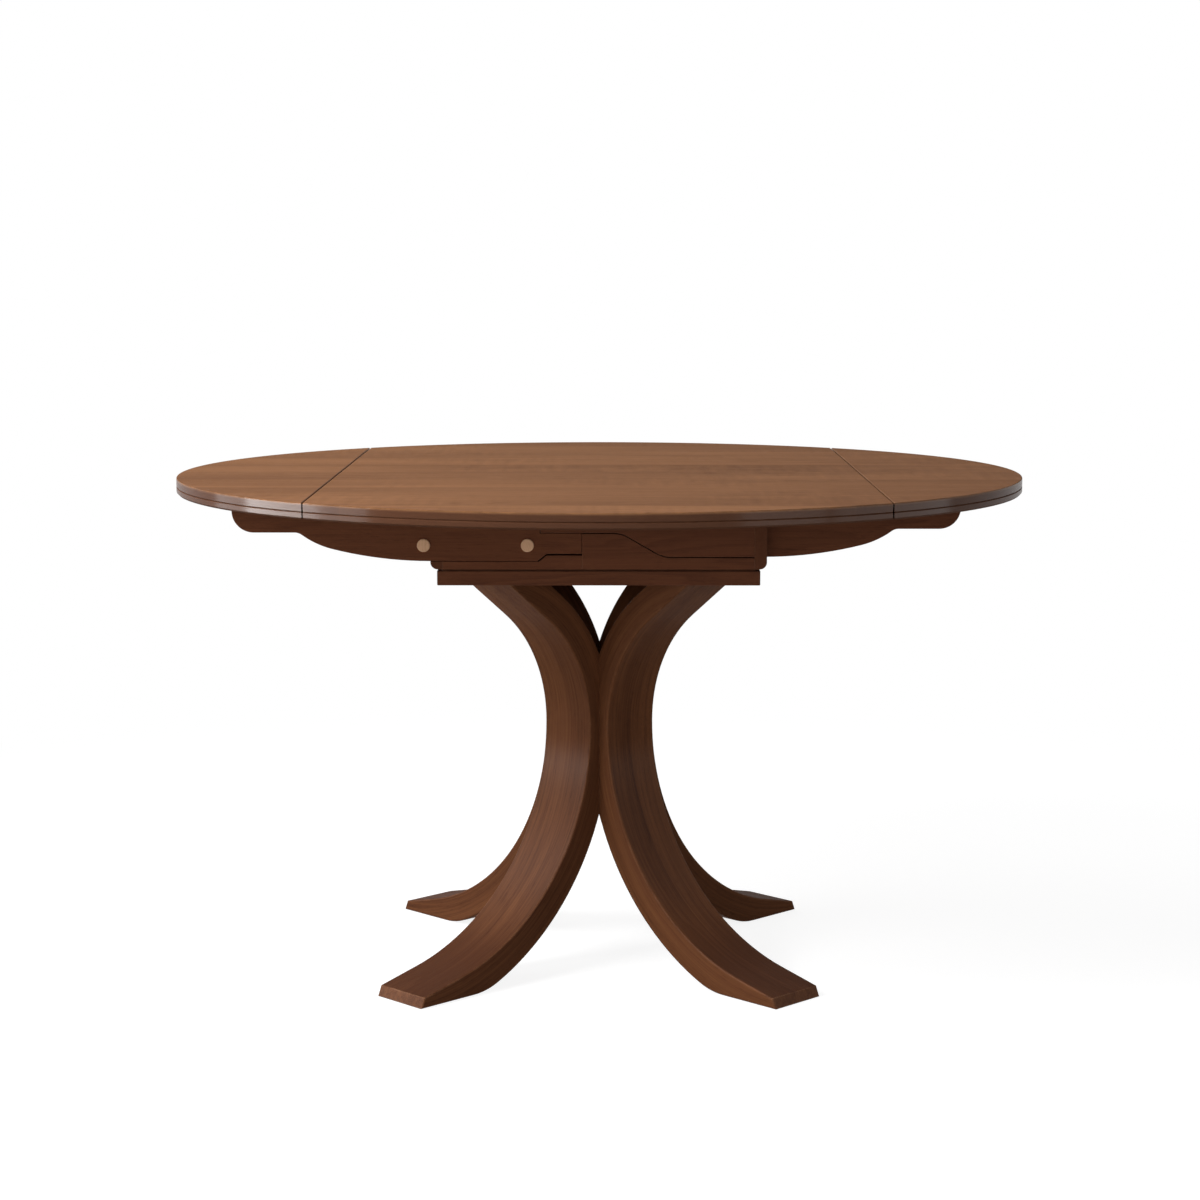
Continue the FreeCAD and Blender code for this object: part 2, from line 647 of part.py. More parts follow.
# Upright screws: the shanks rise from the heads' seats, the heads hang below.
def pad_screws(body, spots, top, seat):
    shanks = new_sketch(body, "Shanks", "XY_Plane", seat)
    heads = new_sketch(body, "Heads", "XY_Plane", seat)
    for x, y in spots:
        draw_circle(shanks, x, y, "screw_diameter / 2")
        draw_circle(heads, x, y, "screw_head_diameter / 2")
    pad(body, "ShankPads", shanks, "%s - (%s)" % (top, seat))
    pad(body, "HeadPads", heads, "screw_head_height", back=True)


def make_leaf_screws(side, turn):
    body = new_body(side + "_leaf_screws")
    top = "underside + top_screw_bite"
    spots = leaf_screw_spots()
    pad_screws(body, spots, top, "tip + screw_recess")
    place(body, turn=turn)


def make_end_rail(label, turn):
    body = new_body(label)
    sketch = new_sketch(body, "Outline", "YZ_Plane", "-box_end")
    back_slot = "board_inner_face + groove_depth"
    front_slot = "-board_outer_face + groove_depth"
    # The notch of the inner arm also lets the heads of its pegs through.
    peg_side = "inner_arm_inner_face - peg_proud - slide_gap"
    draw_outline(sketch, [
        ("-box_face", "box_bottom"),
        ("box_face", "box_bottom"),
        ("box_face", "underside"),
        ("board_inner_face", "underside"),
        ("board_inner_face", "groove_top"),
        (back_slot, "groove_top"),
        (back_slot, "groove_floor"),
        ("board_inner_face", "groove_floor"),
        ("board_inner_face", "notch_floor"),
        (peg_side, "notch_floor"),
        (peg_side, "underside"),
        ("-board_outer_face", "underside"),
        ("-board_outer_face", "groove_top"),
        (front_slot, "groove_top"),
        (front_slot, "groove_floor"),
        ("-board_outer_face", "groove_floor"),
        ("-board_outer_face", "notch_floor"),
        ("-box_face", "notch_floor"),
    ])
    pad(body, "Rail", sketch, "rail_thickness")

    def outer_lower(edge):
        ends = edge.Vertexes
        at_end = all(close_to(vertex.X, value("-box_end")) for vertex in ends)
        return at_end and all(close_to(vertex.Z, value("box_bottom")) for vertex in ends)

    break_edges(body, "Round", outer_lower, "rail_round")
    place(body, turn=turn)


# Where a runner's groove ends in a board, beyond the middle.
GROOVE_END = "runner_in + 2 * runner_clearance"


def board_screw_columns():
    return ("-plate_screw_spacing", "0", "plate_screw_spacing")


def make_board(label, y, turn):
    body = new_body(label)
    sketch = new_sketch(body, "Outline", "XZ_Plane")
    draw_box(sketch, "-rail_inside", "box_bottom", "rail_inside", "underside")
    pad(body, "Board", sketch, "board_thickness", middle=True)
    outer = new_sketch(body, "OuterGrooveOutline", "XZ_Plane", "board_thickness / 2")
    draw_box(outer, "-rail_inside - cut_margin", "groove_floor", GROOVE_END, "groove_top")
    cut(body, "OuterGroove", outer, "groove_depth")
    inner = new_sketch(body, "InnerGrooveOutline", "XZ_Plane", "-board_thickness / 2")
    draw_box(inner, "-(%s)" % GROOVE_END, "groove_floor", "rail_inside + cut_margin", "groove_top")
    cut(body, "InnerGroove", inner, "groove_depth", True)
    stop_radius = "spigot_diameter / 2 + peg_fit"
    floor = "board_thickness / 2 - groove_depth"
    outer_stop = new_sketch(body, "OuterStopBore", "XZ_Plane", floor)
    draw_circle(outer_stop, "-runner_stop_reach", "peg_height", stop_radius)
    cut(body, "OuterStopHole", outer_stop, "runner_stop_bed")
    inner_stop = new_sketch(body, "InnerStopBore", "XZ_Plane", "-(%s)" % floor)
    draw_circle(inner_stop, "runner_stop_reach", "peg_height", stop_radius)
    cut(body, "InnerStopHole", inner_stop, "runner_stop_bed", True)
    pilots = new_sketch(body, "ScrewPilots", "XY_Plane", "box_bottom")
    for x in board_screw_columns():
        draw_circle(pilots, x, "0", "screw_diameter / 2 + peg_fit")
    cut(body, "ScrewHoles", pilots, "plate_screw_bite", True)
    place(body, y, turn)


def make_runner_stops(label, y, turn):
    body = new_body(label)
    floor = "board_thickness / 2 - groove_depth - runner_stop_bed"
    for name, sign, x, back in (("Outer", "1", "-runner_stop_reach", False),
                                ("Inner", "-1", "runner_stop_reach", True)):
        sketch = new_sketch(body, name + "Section", "XZ_Plane", "%s * (%s)" % (sign, floor))
        draw_circle(sketch, x, "peg_height", "spigot_diameter / 2")
        pad(body, name + "Stop", sketch, "runner_stop_bed + spigot_length", back=back)
    place(body, y, turn)


# The bar below an outer arm rises where the arm's end is relieved.
def make_sill(label, y, turn):
    body = new_body(label)
    sketch = new_sketch(body, "Outline", "XZ_Plane")
    low = "box_bottom + sill_height"
    raised = "belly + arm_relief_height - relief_gap"
    draw_outline(sketch, [
        ("-rail_inside", "box_bottom"),
        ("infill_end", "box_bottom"),
        ("infill_end", raised),
        ("-arm_relief_start + arm_relief_run", raised),
        ("-arm_relief_start + relief_gap", low),
        ("-rail_inside", low),
    ])
    pad(body, "Bar", sketch, "front_layer", middle=True)
    place(body, y, turn)


# The line where the bearer's underside drops in a slanted step with a bend at both
# ends: its points between the two level stretches, at a given height of the first.
def dip_line(level):
    bend_run = "bearer_dip_radius * sin(bearer_dip_angle)"
    bend_drop = "bearer_dip_radius * (1 - cos(bearer_dip_angle))"
    slope_run = "(bearer_dip - 2 * %s) / tan(bearer_dip_angle)" % bend_drop
    first_x = "bearer_dip_start + " + bend_run
    second_x = "%s + %s" % (first_x, slope_run)
    return [
        ("bearer_dip_start", level),
        (first_x, "%s - %s" % (level, bend_drop)),
        (second_x, "%s - bearer_dip + %s" % (level, bend_drop)),
        ("%s + %s" % (second_x, bend_run), "%s - bearer_dip" % level),
        ("rail_inside", "%s - bearer_dip" % level),
    ]


# Room behind a piece of the box's face for the runner's front half.
def cut_runner_room(body, start):
    room = new_sketch(body, "RunnerRoomOutline", "XZ_Plane", "-front_layer / 2")
    draw_box(room, start, "groove_floor", GROOVE_END, "groove_top")
    cut(body, "RunnerRoom", room, "groove_depth + slide_gap", True)


# The bearer fills the upper part of the box's face where the arm doesn't run.
def make_bearer(label, y, turn):
    body = new_body(label)
    thin = "underside - bearer_height"
    sketch = new_sketch(body, "Outline", "XZ_Plane")
    draw_outline(sketch, [
        ("-arm_lap_start + bearer_lap_clearance", "underside"),
        ("-arm_lap_start + bearer_lap_clearance", thin),
        *dip_line(thin),
        ("rail_inside", "underside"),
    ], {2: ("bearer_dip_radius", -1), 4: ("bearer_dip_radius", 1)})
    pad(body, "Board", sketch, "front_layer", middle=True)
    cut_runner_room(body, "-arm_lap_start")
    place(body, y, turn)


# The infill board closes the box's face from the arm's inner end to the bearer.
def make_infill(label, y, turn):
    body = new_body(label)
    sketch = new_sketch(body, "Outline", "XZ_Plane")
    draw_outline(sketch, [
        ("infill_end", "box_bottom"),
        ("infill_end", "underside - bearer_height - bearer_gap"),
        *dip_line("underside - bearer_height - bearer_gap"),
        ("rail_inside", "box_bottom"),
    ], {2: ("bearer_dip_radius", -1), 4: ("bearer_dip_radius", 1)})
    pad(body, "Board", sketch, "front_layer", middle=True)
    cut_runner_room(body, "infill_end - cut_margin")
    place(body, y, turn)


def make_corner_block(number, side_x, side_y):
    body = new_body("corner_block_%d" % number)
    x, y = block_spot(side_x, side_y)
    sketch = new_sketch(body, "Outline", "XY_Plane", "block_floor")
    half = "block_width / 2"
    draw_box(sketch, "%s - %s" % (x, half), "%s - %s" % (y, half),
             "%s + %s" % (x, half), "%s + %s" % (y, half))
    pad(body, "Block", sketch, "block_height")
    bore = new_sketch(body, "ScrewBore", "XY_Plane", "block_floor")
    draw_circle(bore, x, y, "screw_diameter / 2 + peg_fit")
    cut(body, "ScrewHole", bore, "block_height", True)


def make_top_screws():
    body = new_body("top_screws")
    spots = [block_spot(*corner) for corner in BLOCK_CORNERS]
    pad_screws(body, spots, "underside + top_screw_bite", "block_floor")


def plate_screw_spots():
    return [(x, sign + "board_middle") for sign in ("-", "") for x in board_screw_columns()]


def make_plate():
    body = new_body("pedestal_plate")
    sketch = new_sketch(body, "Outline", "XY_Plane", "plate_bottom")
    draw_box(sketch, "-plate_length / 2", "-plate_depth / 2", "plate_length / 2", "plate_depth / 2")
    pad(body, "Board", sketch, "plate_thickness")

    def outer_edge(edge):
        spot = middle_of(edge)
        at_end = close_to(abs(spot.x), value("plate_length / 2"))
        return at_end or close_to(abs(spot.y), value("plate_depth / 2"))

    break_edges(body, "Arris", outer_edge, "plate_arris")
    reveal = new_sketch(body, "RevealOutline", "XY_Plane", "box_bottom")
    for length, depth in (("plate_length / 2 + cut_margin", "plate_depth / 2 + cut_margin"),
                          ("plate_length / 2 - reveal_depth", "plate_depth / 2 - reveal_depth")):
        draw_box(reveal, "-(%s)" % length, "-(%s)" % depth, length, depth)
    cut(body, "Reveal", reveal, "reveal_height")
    bores = new_sketch(body, "ScrewBores", "XY_Plane", "plate_bottom")
    seats = new_sketch(body, "ScrewSeats", "XY_Plane", "plate_bottom")
    for x, y in plate_screw_spots():
        draw_circle(bores, x, y, "screw_diameter / 2 + peg_fit")
        draw_circle(seats, x, y, "screw_head_diameter / 2 + peg_fit")
    cut(body, "ScrewHoles", bores, "plate_thickness", True)
    cut(body, "ScrewSeatCuts", seats, "screw_recess", True)
    # One pair of bolt holes, repeated for the four legs.
    bolts = new_sketch(body, "BoltBores", "XY_Plane", "box_bottom")
    heads = new_sketch(body, "BoltSeats", "XY_Plane", "box_bottom")
    for x, y in (bolt_spot("-1"), bolt_spot("1")):
        draw_circle(bolts, x, y, "bolt_diameter / 2 + peg_fit")
        draw_circle(heads, x, y, "bolt_head_diameter / 2 + peg_fit")
    holes = cut(body, "BoltHoles", bolts, "plate_thickness")
    seats = cut(body, "BoltSeatCuts", heads, "bolt_head_height + bolt_sink")
    pattern = body.newObject("PartDesign::PolarPattern", "FourLegs")
    pattern.Originals = [holes, seats]
    pattern.Axis = (bolts, ["N_Axis"])
    pattern.Angle = 360
    pattern.Occurrences = 4
    body.Tip = pattern
    doc.recompute()


def make_plate_screws():
    body = new_body("plate_screws")
    seat = "plate_bottom + screw_recess"
    pad_screws(body, plate_screw_spots(), "box_bottom + plate_screw_bite", seat)


# A bolt of the leg that points along the diagonal between +X and +Y.
def bolt_spot(side):
    across = "%s * bolt_spacing / 2" % side
    x = "(bolt_reach - (%s)) * sqrt(0.5)" % across
    y = "(bolt_reach + %s) * sqrt(0.5)" % across
    return x, y


LEGS = (("rear_right", 45), ("rear_left", 135), ("front_left", 225), ("front_right", 315))


# Section of a leg through its middle, X away from the axis: one thickness all
# along, a flare above the waist, a sweep below it, a flat sole.
def leg_outline():
    middle_low = "waist_reach + sweep"
    middle_high = "waist_reach + flare"
    outer_low = ("%s - sweep * cos(foot_angle)" % middle_low, "foot_rise")
    outer_high_x = "%s - flare * cos(head_angle)" % middle_high
    outer_high_z = "waist_height + flare * sin(head_angle)"
    lean = "tan(head_angle)"
    points = [
        ("foot_reach", "foot_sole"),
        ("foot_reach - foot_end_slope", "foot_tip_height"),
        outer_low,
        ("waist_reach", "waist_height"),
        (outer_high_x, outer_high_z),
        ("%s + (plate_bottom - (%s)) * %s" % (outer_high_x, outer_high_z, lean), "plate_bottom"),
        ("head_inner", "plate_bottom"),
        ("head_inner_x", "head_inner_z"),
        ("waist_reach - leg_thickness", "waist_height"),
        ("sole_inner", "foot_sole"),
    ]
    arcs = {
        2: ("sweep", -1),
        3: ("flare", -1),
        7: ("flare_inside", 1),
        8: ("sweep + leg_thickness", 1),
    }
    return points, arcs


def make_leg(corner, turn):
    body = new_body("leg_" + corner)
    sketch = new_sketch(body, "Section", "XZ_Plane")
    draw_outline(sketch, *leg_outline())
    pad(body, "Leg", sketch, "leg_width", middle=True)
    bend = FreeCAD.Vector(value("sole_inner"), 0, value("foot_sole"))

    def sole_edge(edge):
        return middle_of(edge).distanceToPoint(bend) < SAME_PLACE

    break_edges(body, "SoleEase", sole_edge, "sole_ease")
    faces = value("leg_width / 2")
    low = value("foot_sole") + SAME_PLACE
    high = value("plate_bottom") - SAME_PLACE

    def long_edge(edge):
        spot = middle_of(edge)
        on_face = all(close_to(abs(vertex.Y), faces) for vertex in edge.Vertexes)
        along = close_to(abs(spot.y), faces) and low < spot.z < high
        return on_face and along

    break_edges(body, "Arris", long_edge, "leg_arris")
    # Beside the axis the legs meet each other in mitres.
    mitres = new_sketch(body, "Mitres", "XY_Plane")
    span = "leg_width"
    past = "-cut_margin"
    draw_outline(mitres, [("0", "0"), (span, span), (past, span), (past, "0")])
    draw_outline(mitres, [("0", "0"), (past, "0"), (past, "-" + span), (span, "-" + span)])
    cut(body, "MitreCuts", mitres)
    bolts = new_sketch(body, "BoltBores", "XY_Plane", "plate_bottom")
    for side in ("-1", "1"):
        draw_circle(bolts, "bolt_reach", side + " * bolt_spacing / 2", "bolt_diameter / 2 + peg_fit")
    in_plate = "(plate_thickness - bolt_head_height - bolt_sink)"
    cut(body, "BoltHoles", bolts, "bolt_length - %s + bolt_room" % in_plate)
    glide = new_sketch(body, "GlideSeat", "XY_Plane", "foot_sole")
    draw_circle(glide, "glide_reach", "0", "glide_diameter / 2 + peg_fit")
    cut(body, "GlideSeatCut", glide, "glide_thickness - glide_proud", True)
    place(body, turn=turn)


def make_glide(corner, turn):
    glide = doc.addObject("Part::Cylinder", "foot_glide_" + corner)
    glide.Label = "foot_glide_" + corner
    bind(glide, "Radius", "glide_diameter / 2")
    bind(glide, "Height", "glide_thickness")
    place(glide, x="glide_reach * cos(%d)" % turn, y="glide_reach * sin(%d)" % turn)
    parts.append(glide)


def make_leg_bolts(corner, turn):
    body = new_body("leg_bolts_" + corner)
    seat = "box_bottom - bolt_head_height - bolt_sink"
    shanks = new_sketch(body, "Shanks", "XY_Plane", seat)
    heads = new_sketch(body, "Heads", "XY_Plane", seat)
    for side in ("-1", "1"):
        y = side + " * bolt_spacing / 2"
        draw_circle(shanks, "bolt_reach", y, "bolt_diameter / 2")
        draw_circle(heads, "bolt_reach", y, "bolt_head_diameter / 2")
    pad(body, "ShankPads", shanks, "bolt_length", back=True)
    pad(body, "HeadPads", heads, "bolt_head_height")
    place(body, turn=turn)


def make_core():
    core = doc.addObject("Part::Box", "pedestal_core")
    core.Label = "pedestal_core"
    bind(core, "Length", "core_width")
    bind(core, "Width", "core_width")
    bind(core, "Height", "core_height")
    place(core, y="-core_width * sqrt(0.5)", turn=45, z="waist_height - core_height / 2")
    parts.append(core)


make_centre_panel()
for side, turn in (("left", 0), ("right", 180)):
    make_leaf(side, turn)
    make_batten(side, turn)
    make_alignment_pins(side, turn)
    make_leaf_screws(side, turn)
    sign = "-" if side == "left" else ""
    other = "" if side == "left" else "-"
    make_arm(side + "_outer_arm", sign + "outer_arm_middle", turn, inner=False)
    make_arm(side + "_inner_arm", other + "inner_arm_middle", turn, inner=True)
    make_pegs(side + "_outer", sign + "outer_arm_middle", turn, inner=False)
    make_pegs(side + "_inner", other + "inner_arm_middle", turn, inner=True)
    make_runner(side + "_outer_runner", sign + "(arm_inner_face - slide_gap / 2)", turn)
    make_runner(side + "_inner_runner", other + "(board_inner_face - slide_gap / 2)", turn)
    make_end_rail("box_end_rail_" + side, turn)
for end, sign, turn in (("front", "-", 0), ("rear", "", 180)):
    make_board("box_board_" + end, sign + "board_middle", turn)
    make_runner_stops("runner_stops_" + end, sign + "board_middle", turn)
    make_sill("box_sill_" + end, sign + "front_middle", turn)
    make_bearer("box_bearer_" + end, sign + "front_middle", turn)
    make_infill("box_infill_" + end, sign + "front_middle", turn)
for number, corner in enumerate(BLOCK_CORNERS, start=1):
    make_corner_block(number, *corner)
make_top_screws()
make_plate()
make_plate_screws()
for corner, turn in LEGS:
    make_leg(corner, turn)
    make_glide(corner, turn)
    make_leg_bolts(corner, turn)
make_core()

doc.recompute()
failed = [item.Label for item in doc.Objects if "Invalid" in item.State or "Error" in item.State]
if failed:
    raise RuntimeError("did not build: " + ", ".join(failed))
os.makedirs("parts", exist_ok=True)
for piece in parts:
    if piece.Shape.isNull() or not piece.Shape.isValid():
        raise RuntimeError(piece.Label + " has no valid shape")
    piece.Shape.exportStep("parts/" + piece.Label + ".step")
print(len(parts), "pieces written")
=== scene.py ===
import math

import bmesh
import bpy
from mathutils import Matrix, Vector


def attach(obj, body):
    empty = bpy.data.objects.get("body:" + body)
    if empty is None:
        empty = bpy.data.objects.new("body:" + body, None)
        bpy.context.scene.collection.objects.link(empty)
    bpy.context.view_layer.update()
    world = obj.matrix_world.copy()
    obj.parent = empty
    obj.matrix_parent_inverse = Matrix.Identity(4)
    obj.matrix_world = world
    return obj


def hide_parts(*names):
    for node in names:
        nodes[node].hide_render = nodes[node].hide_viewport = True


# A round pedestal table in stained hardwood: top in three boards, slide box,
# square plate and four bent legs. Metres, Z up, front towards -Y.

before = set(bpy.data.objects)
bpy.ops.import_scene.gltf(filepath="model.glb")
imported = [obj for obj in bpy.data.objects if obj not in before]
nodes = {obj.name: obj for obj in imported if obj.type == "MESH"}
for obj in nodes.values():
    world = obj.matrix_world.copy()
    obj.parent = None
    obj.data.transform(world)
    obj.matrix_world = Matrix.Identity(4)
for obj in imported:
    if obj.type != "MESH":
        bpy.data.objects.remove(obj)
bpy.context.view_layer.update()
print("frame loaded:", len(nodes), "nodes")


# Node helpers

# A wire's name or number is that of the node's input. It holds a socket or a plain value.
def addNode(tree, kind, wires=None, **settings):
    made = tree.nodes.new("ShaderNode" + kind)
    for name, setting in settings.items():
        setattr(made, name, setting)
    for name, source in (wires or {}).items():
        if isinstance(source, bpy.types.NodeSocket):
            tree.links.new(source, made.inputs[name])
        else:
            made.inputs[name].default_value = source
    return made


def maths(tree, operation, first, second=0.0, third=0.0, clamp=False):
    wires = {0: first, 1: second, 2: third}
    return addNode(tree, "Math", wires, operation=operation, use_clamp=clamp).outputs[0]


def vectors(tree, operation, first, second=(0.0, 0.0, 0.0)):
    return addNode(tree, "VectorMath", {0: first, 1: second}, operation=operation)


def remap(tree, source, low, high, newLow=0.0, newHigh=1.0, smooth=True):
    wires = {"Value": source, "From Min": low, "From Max": high, "To Min": newLow, "To Max": newHigh}
    kind = "SMOOTHSTEP" if smooth else "LINEAR"
    return addNode(tree, "MapRange", wires, interpolation_type=kind).outputs["Result"]


def mixColour(tree, share, first, second):
    return addNode(tree, "Mix", {0: share, 6: first, 7: second}, data_type="RGBA").outputs[2]


def noise(tree, place, scale, detail=2.0, rough=0.5):
    wires = {"Vector": place, "Scale": scale, "Detail": detail, "Roughness": rough}
    return addNode(tree, "TexNoise", wires).outputs[0]


# Noise drawn out along the grain: stretch holds how often it changes per metre.
def stretchedNoise(tree, place, stretch, detail=2.0, rough=0.5):
    return noise(tree, vectors(tree, "MULTIPLY", place, stretch).outputs[0], 1.0, detail, rough)


def objectPosition(tree):
    return addNode(tree, "TexCoord").outputs["Object"]


# The height of a place, or how far a normal looks up.
def upPart(tree, vector):
    return addNode(tree, "SeparateXYZ", {0: vector}).outputs[2]


def startGroup(name, inputs, outputs):
    group = bpy.data.node_groups.new(name, "ShaderNodeTree")
    sockets = group.interface
    for title, kind, usual in inputs:
        socket = sockets.new_socket(name=title, in_out="INPUT", socket_type="NodeSocket" + kind)
        if usual is not None:
            socket.default_value = usual
    for title, kind in outputs:
        sockets.new_socket(name=title, in_out="OUTPUT", socket_type="NodeSocket" + kind)
    enter = group.nodes.new("NodeGroupInput")
    leave = group.nodes.new("NodeGroupOutput")
    return group, enter.outputs, leave.inputs


def useGroup(tree, group, wires):
    return addNode(tree, "Group", wires, node_tree=group).outputs


# What varies in the wood. A pattern holds its changes per metre along the grain and across
# it, or one scale, then its detail and its roughness. A range holds where a mask begins and
# where it is full.
grain = {
    "stickShift": 7.0,
    "heartHeight": 0.62,
    "heartSpread": 0.05,
    "wander": ((1.3, 11.0, 11.0), 3.0, 0.5),
    "wanderTurns": 16.0,
    "fading": ((1.6, 26.0, 26.0), 2.0, 0.5),
    "fadingRange": (0.38, 0.62),
    "lateRange": (0.2, 0.85),
    "earlyRange": (1.0, 0.88),
    "lateMean": 0.4,
    "streak": ((2.2, 130.0, 130.0), 3.0, 0.6),
    "fine": ((7.0, 620.0, 620.0), 2.0, 0.6),
    "pore": ((55.0, 1300.0, 1300.0), 1.0, 0.5),
    "poreRange": (0.60, 0.72),
    "curl": ((70.0, 9.0, 9.0), 2.0, 0.5),
    "patch": (3.1, 1.0, 0.5),
    "patchRange": (0.42, 0.62),
    "cloudsAlong": 1.1,
    "seamRange": (0.4945, 0.4985),
    "seamShare": 0.5,
    "darkest": 1.35,
    "lightest": -0.35,
    "lateGloss": 0.25,
    "cloudGloss": 0.5,
    "poreGloss": 0.3,
    "fineRelief": 0.35,
    "lateRelief": 0.2,
}


# Each plank is its own stick of wood, shifted in the noise by a random amount.
def addPlanks(group, enter, place):
    across = maths(group, "DIVIDE", place[1], enter["Plank Width"])
    number = maths(group, "FLOOR", across)
    key = maths(group, "ADD", number, enter["Seed"])
    chance = addNode(group, "TexWhiteNoise", {"W": key}, noise_dimensions="1D").outputs
    shift = addNode(group, "VectorMath", {0: chance["Color"], "Scale": grain["stickShift"]},
                    operation="SCALE")
    stick = vectors(group, "ADD", enter["Grain Space"], shift.outputs[0]).outputs[0]
    within = maths(group, "SUBTRACT", maths(group, "FRACT", across), 0.5)
    return chance["Value"], stick, within


# Growth rings about a heart at one height of the grain space: how late the wood is in its ring.
def addRings(group, enter, place, chance, stick, within):
    sideways = maths(group, "MULTIPLY", within, enter["Plank Width"])
    heart = remap(group, chance, 0.0, 1.0, -grain["heartSpread"], grain["heartSpread"], smooth=False)
    wide = maths(group, "ADD", sideways, heart)
    deep = maths(group, "SUBTRACT", place[2], grain["heartHeight"])
    around = maths(group, "SQRT", maths(group, "ADD", maths(group, "MULTIPLY", wide, wide),
                                        maths(group, "MULTIPLY", deep, deep)))
    wander = stretchedNoise(group, stick, *grain["wander"])
    turns = maths(group, "ADD", maths(group, "DIVIDE", around, enter["Ring Width"]),
                  maths(group, "MULTIPLY", wander, grain["wanderTurns"]))
    ring = maths(group, "FRACT", turns)
    fading = remap(group, stretchedNoise(group, stick, *grain["fading"]), *grain["fadingRange"])
    late = maths(group, "MULTIPLY", remap(group, ring, *grain["lateRange"]),
                 remap(group, ring, *grain["earlyRange"]))
    late = maths(group, "SUBTRACT", late, grain["lateMean"])
    return maths(group, "MULTIPLY_ADD", late, fading, grain["lateMean"])


# Hardwood. Grain Space has the grain along its X, the board's width along Y.
def hardwoodGroup():
    group, enter, leave = startGroup("hardwood", [
        ("Grain Space", "Vector", None),
        ("Light Tone", "Color", (0.2, 0.1, 0.06, 1.0)),
        ("Dark Tone", "Color", (0.1, 0.05, 0.03, 1.0)),
        ("Plank Width", "Float", 0.13),
        ("Plank Contrast", "Float", 0.3),
        ("Ring Width", "Float", 0.006),
        ("Ring Contrast", "Float", 0.3),
        ("Streak Contrast", "Float", 0.3),
        ("Pore Contrast", "Float", 0.3),
        ("Curl Contrast", "Float", 0.2),
        ("Cloud Contrast", "Float", 0.2),
        ("Clouds Across", "Float", 9.0),
        ("Seed", "Float", 0.0),
    ], [("Colour", "Color"), ("Gloss", "Float"), ("Relief", "Float")])
    place = addNode(group, "SeparateXYZ", {0: enter["Grain Space"]}).outputs
    chance, stick, within = addPlanks(group, enter, place)
    late = addRings(group, enter, place, chance, stick, within)
    streak = stretchedNoise(group, stick, *grain["streak"])
    fine = stretchedNoise(group, stick, *grain["fine"])
    pore = remap(group, stretchedNoise(group, stick, *grain["pore"]), *grain["poreRange"])
    curl = stretchedNoise(group, stick, *grain["curl"])
    patch = remap(group, noise(group, stick, *grain["patch"]), *grain["patchRange"])
    clouds = addNode(group, "CombineXYZ", {0: grain["cloudsAlong"], 1: enter["Clouds Across"],
                                           2: enter["Clouds Across"]})
    cloud = stretchedNoise(group, stick, clouds.outputs[0])
    # The share of the dark tone: every effect adds its part about the middle.
    dark = maths(group, "MULTIPLY_ADD", maths(group, "SUBTRACT", late, grain["lateMean"]),
                 enter["Ring Contrast"], 0.5)
    for effect, name in (
        (maths(group, "SUBTRACT", streak, 0.5), "Streak Contrast"),
        (maths(group, "SUBTRACT", fine, 0.5), "Streak Contrast"),
        (maths(group, "MULTIPLY", maths(group, "SUBTRACT", curl, 0.5), patch), "Curl Contrast"),
        (maths(group, "SUBTRACT", cloud, 0.5), "Cloud Contrast"),
        (maths(group, "SUBTRACT", chance, 0.5), "Plank Contrast"),
        (pore, "Pore Contrast"),
    ):
        dark = maths(group, "MULTIPLY_ADD", effect, enter[name], dark)
    seam = remap(group, maths(group, "ABSOLUTE", within), *grain["seamRange"])
    seamDark = maths(group, "MULTIPLY", enter["Plank Contrast"], grain["seamShare"])
    dark = maths(group, "MULTIPLY_ADD", seam, seamDark, dark)
    share = maths(group, "MAXIMUM", maths(group, "MINIMUM", dark, grain["darkest"]), grain["lightest"])
    # Light and dark lie on one line of colour, so the share may pass both ends a little.
    lit = addNode(group, "Mix", {0: share, 4: enter["Light Tone"], 5: enter["Dark Tone"]},
                  data_type="VECTOR", clamp_factor=False)
    group.links.new(lit.outputs[1], leave["Colour"])
    gloss = maths(group, "MULTIPLY_ADD", late, grain["lateGloss"],
                  maths(group, "MULTIPLY", cloud, grain["cloudGloss"]))
    gloss = maths(group, "ADD", gloss, maths(group, "MULTIPLY", pore, grain["poreGloss"]), clamp=True)
    group.links.new(gloss, leave["Gloss"])
    relief = maths(group, "MULTIPLY_ADD", pore, -1.0, maths(group, "MULTIPLY", fine, grain["fineRelief"]))
    relief = maths(group, "MULTIPLY_ADD", late, grain["lateRelief"], relief)
    group.links.new(relief, leave["Relief"])
    return group


# Masks of wear, stain and painted shade. A range holds where a mask begins and where it is full. Breakup
# holds the detail and the roughness of the noise that breaks up the worn edges.
masks = {
    "samples": 6,
    "edgeRange": (0.995, 0.86),
    "breakup": (3.0, 0.6),
    "breakupRange": (0.3, 0.65),
    "endRange": (0.55, 0.98),
    "cornerRange": (0.95, 0.45),
}


# Stain rubs thin on edges, and on the legs the lighter edge also paints the highlight along the arris.
# Edge is the mask; Normal rounds what is sharp in the mesh.
def edgeWearAndHighlightGroup():
    group, enter, leave = startGroup("edgeWearAndHighlight", [
        ("Position", "Vector", None),
        ("Radius", "Float", 0.002),
        ("Breakup", "Float", 45.0),
        ("Strength", "Float", 0.5),
    ], [("Edge", "Float"), ("Normal", "Vector")])
    bevel = addNode(group, "Bevel", {"Radius": enter["Radius"]}, samples=masks["samples"])
    geometry = addNode(group, "NewGeometry")
    facing = vectors(group, "DOT_PRODUCT", bevel.outputs[0], geometry.outputs["Normal"])
    bend = remap(group, facing.outputs["Value"], *masks["edgeRange"])
    patches = noise(group, enter["Position"], enter["Breakup"], *masks["breakup"])
    broken = remap(group, patches, *masks["breakupRange"])
    wornAndLitEdge = maths(group, "MULTIPLY", maths(group, "MULTIPLY", bend, broken), enter["Strength"])
    group.links.new(wornAndLitEdge, leave["Edge"])
    group.links.new(bevel.outputs[0], leave["Normal"])
    return group


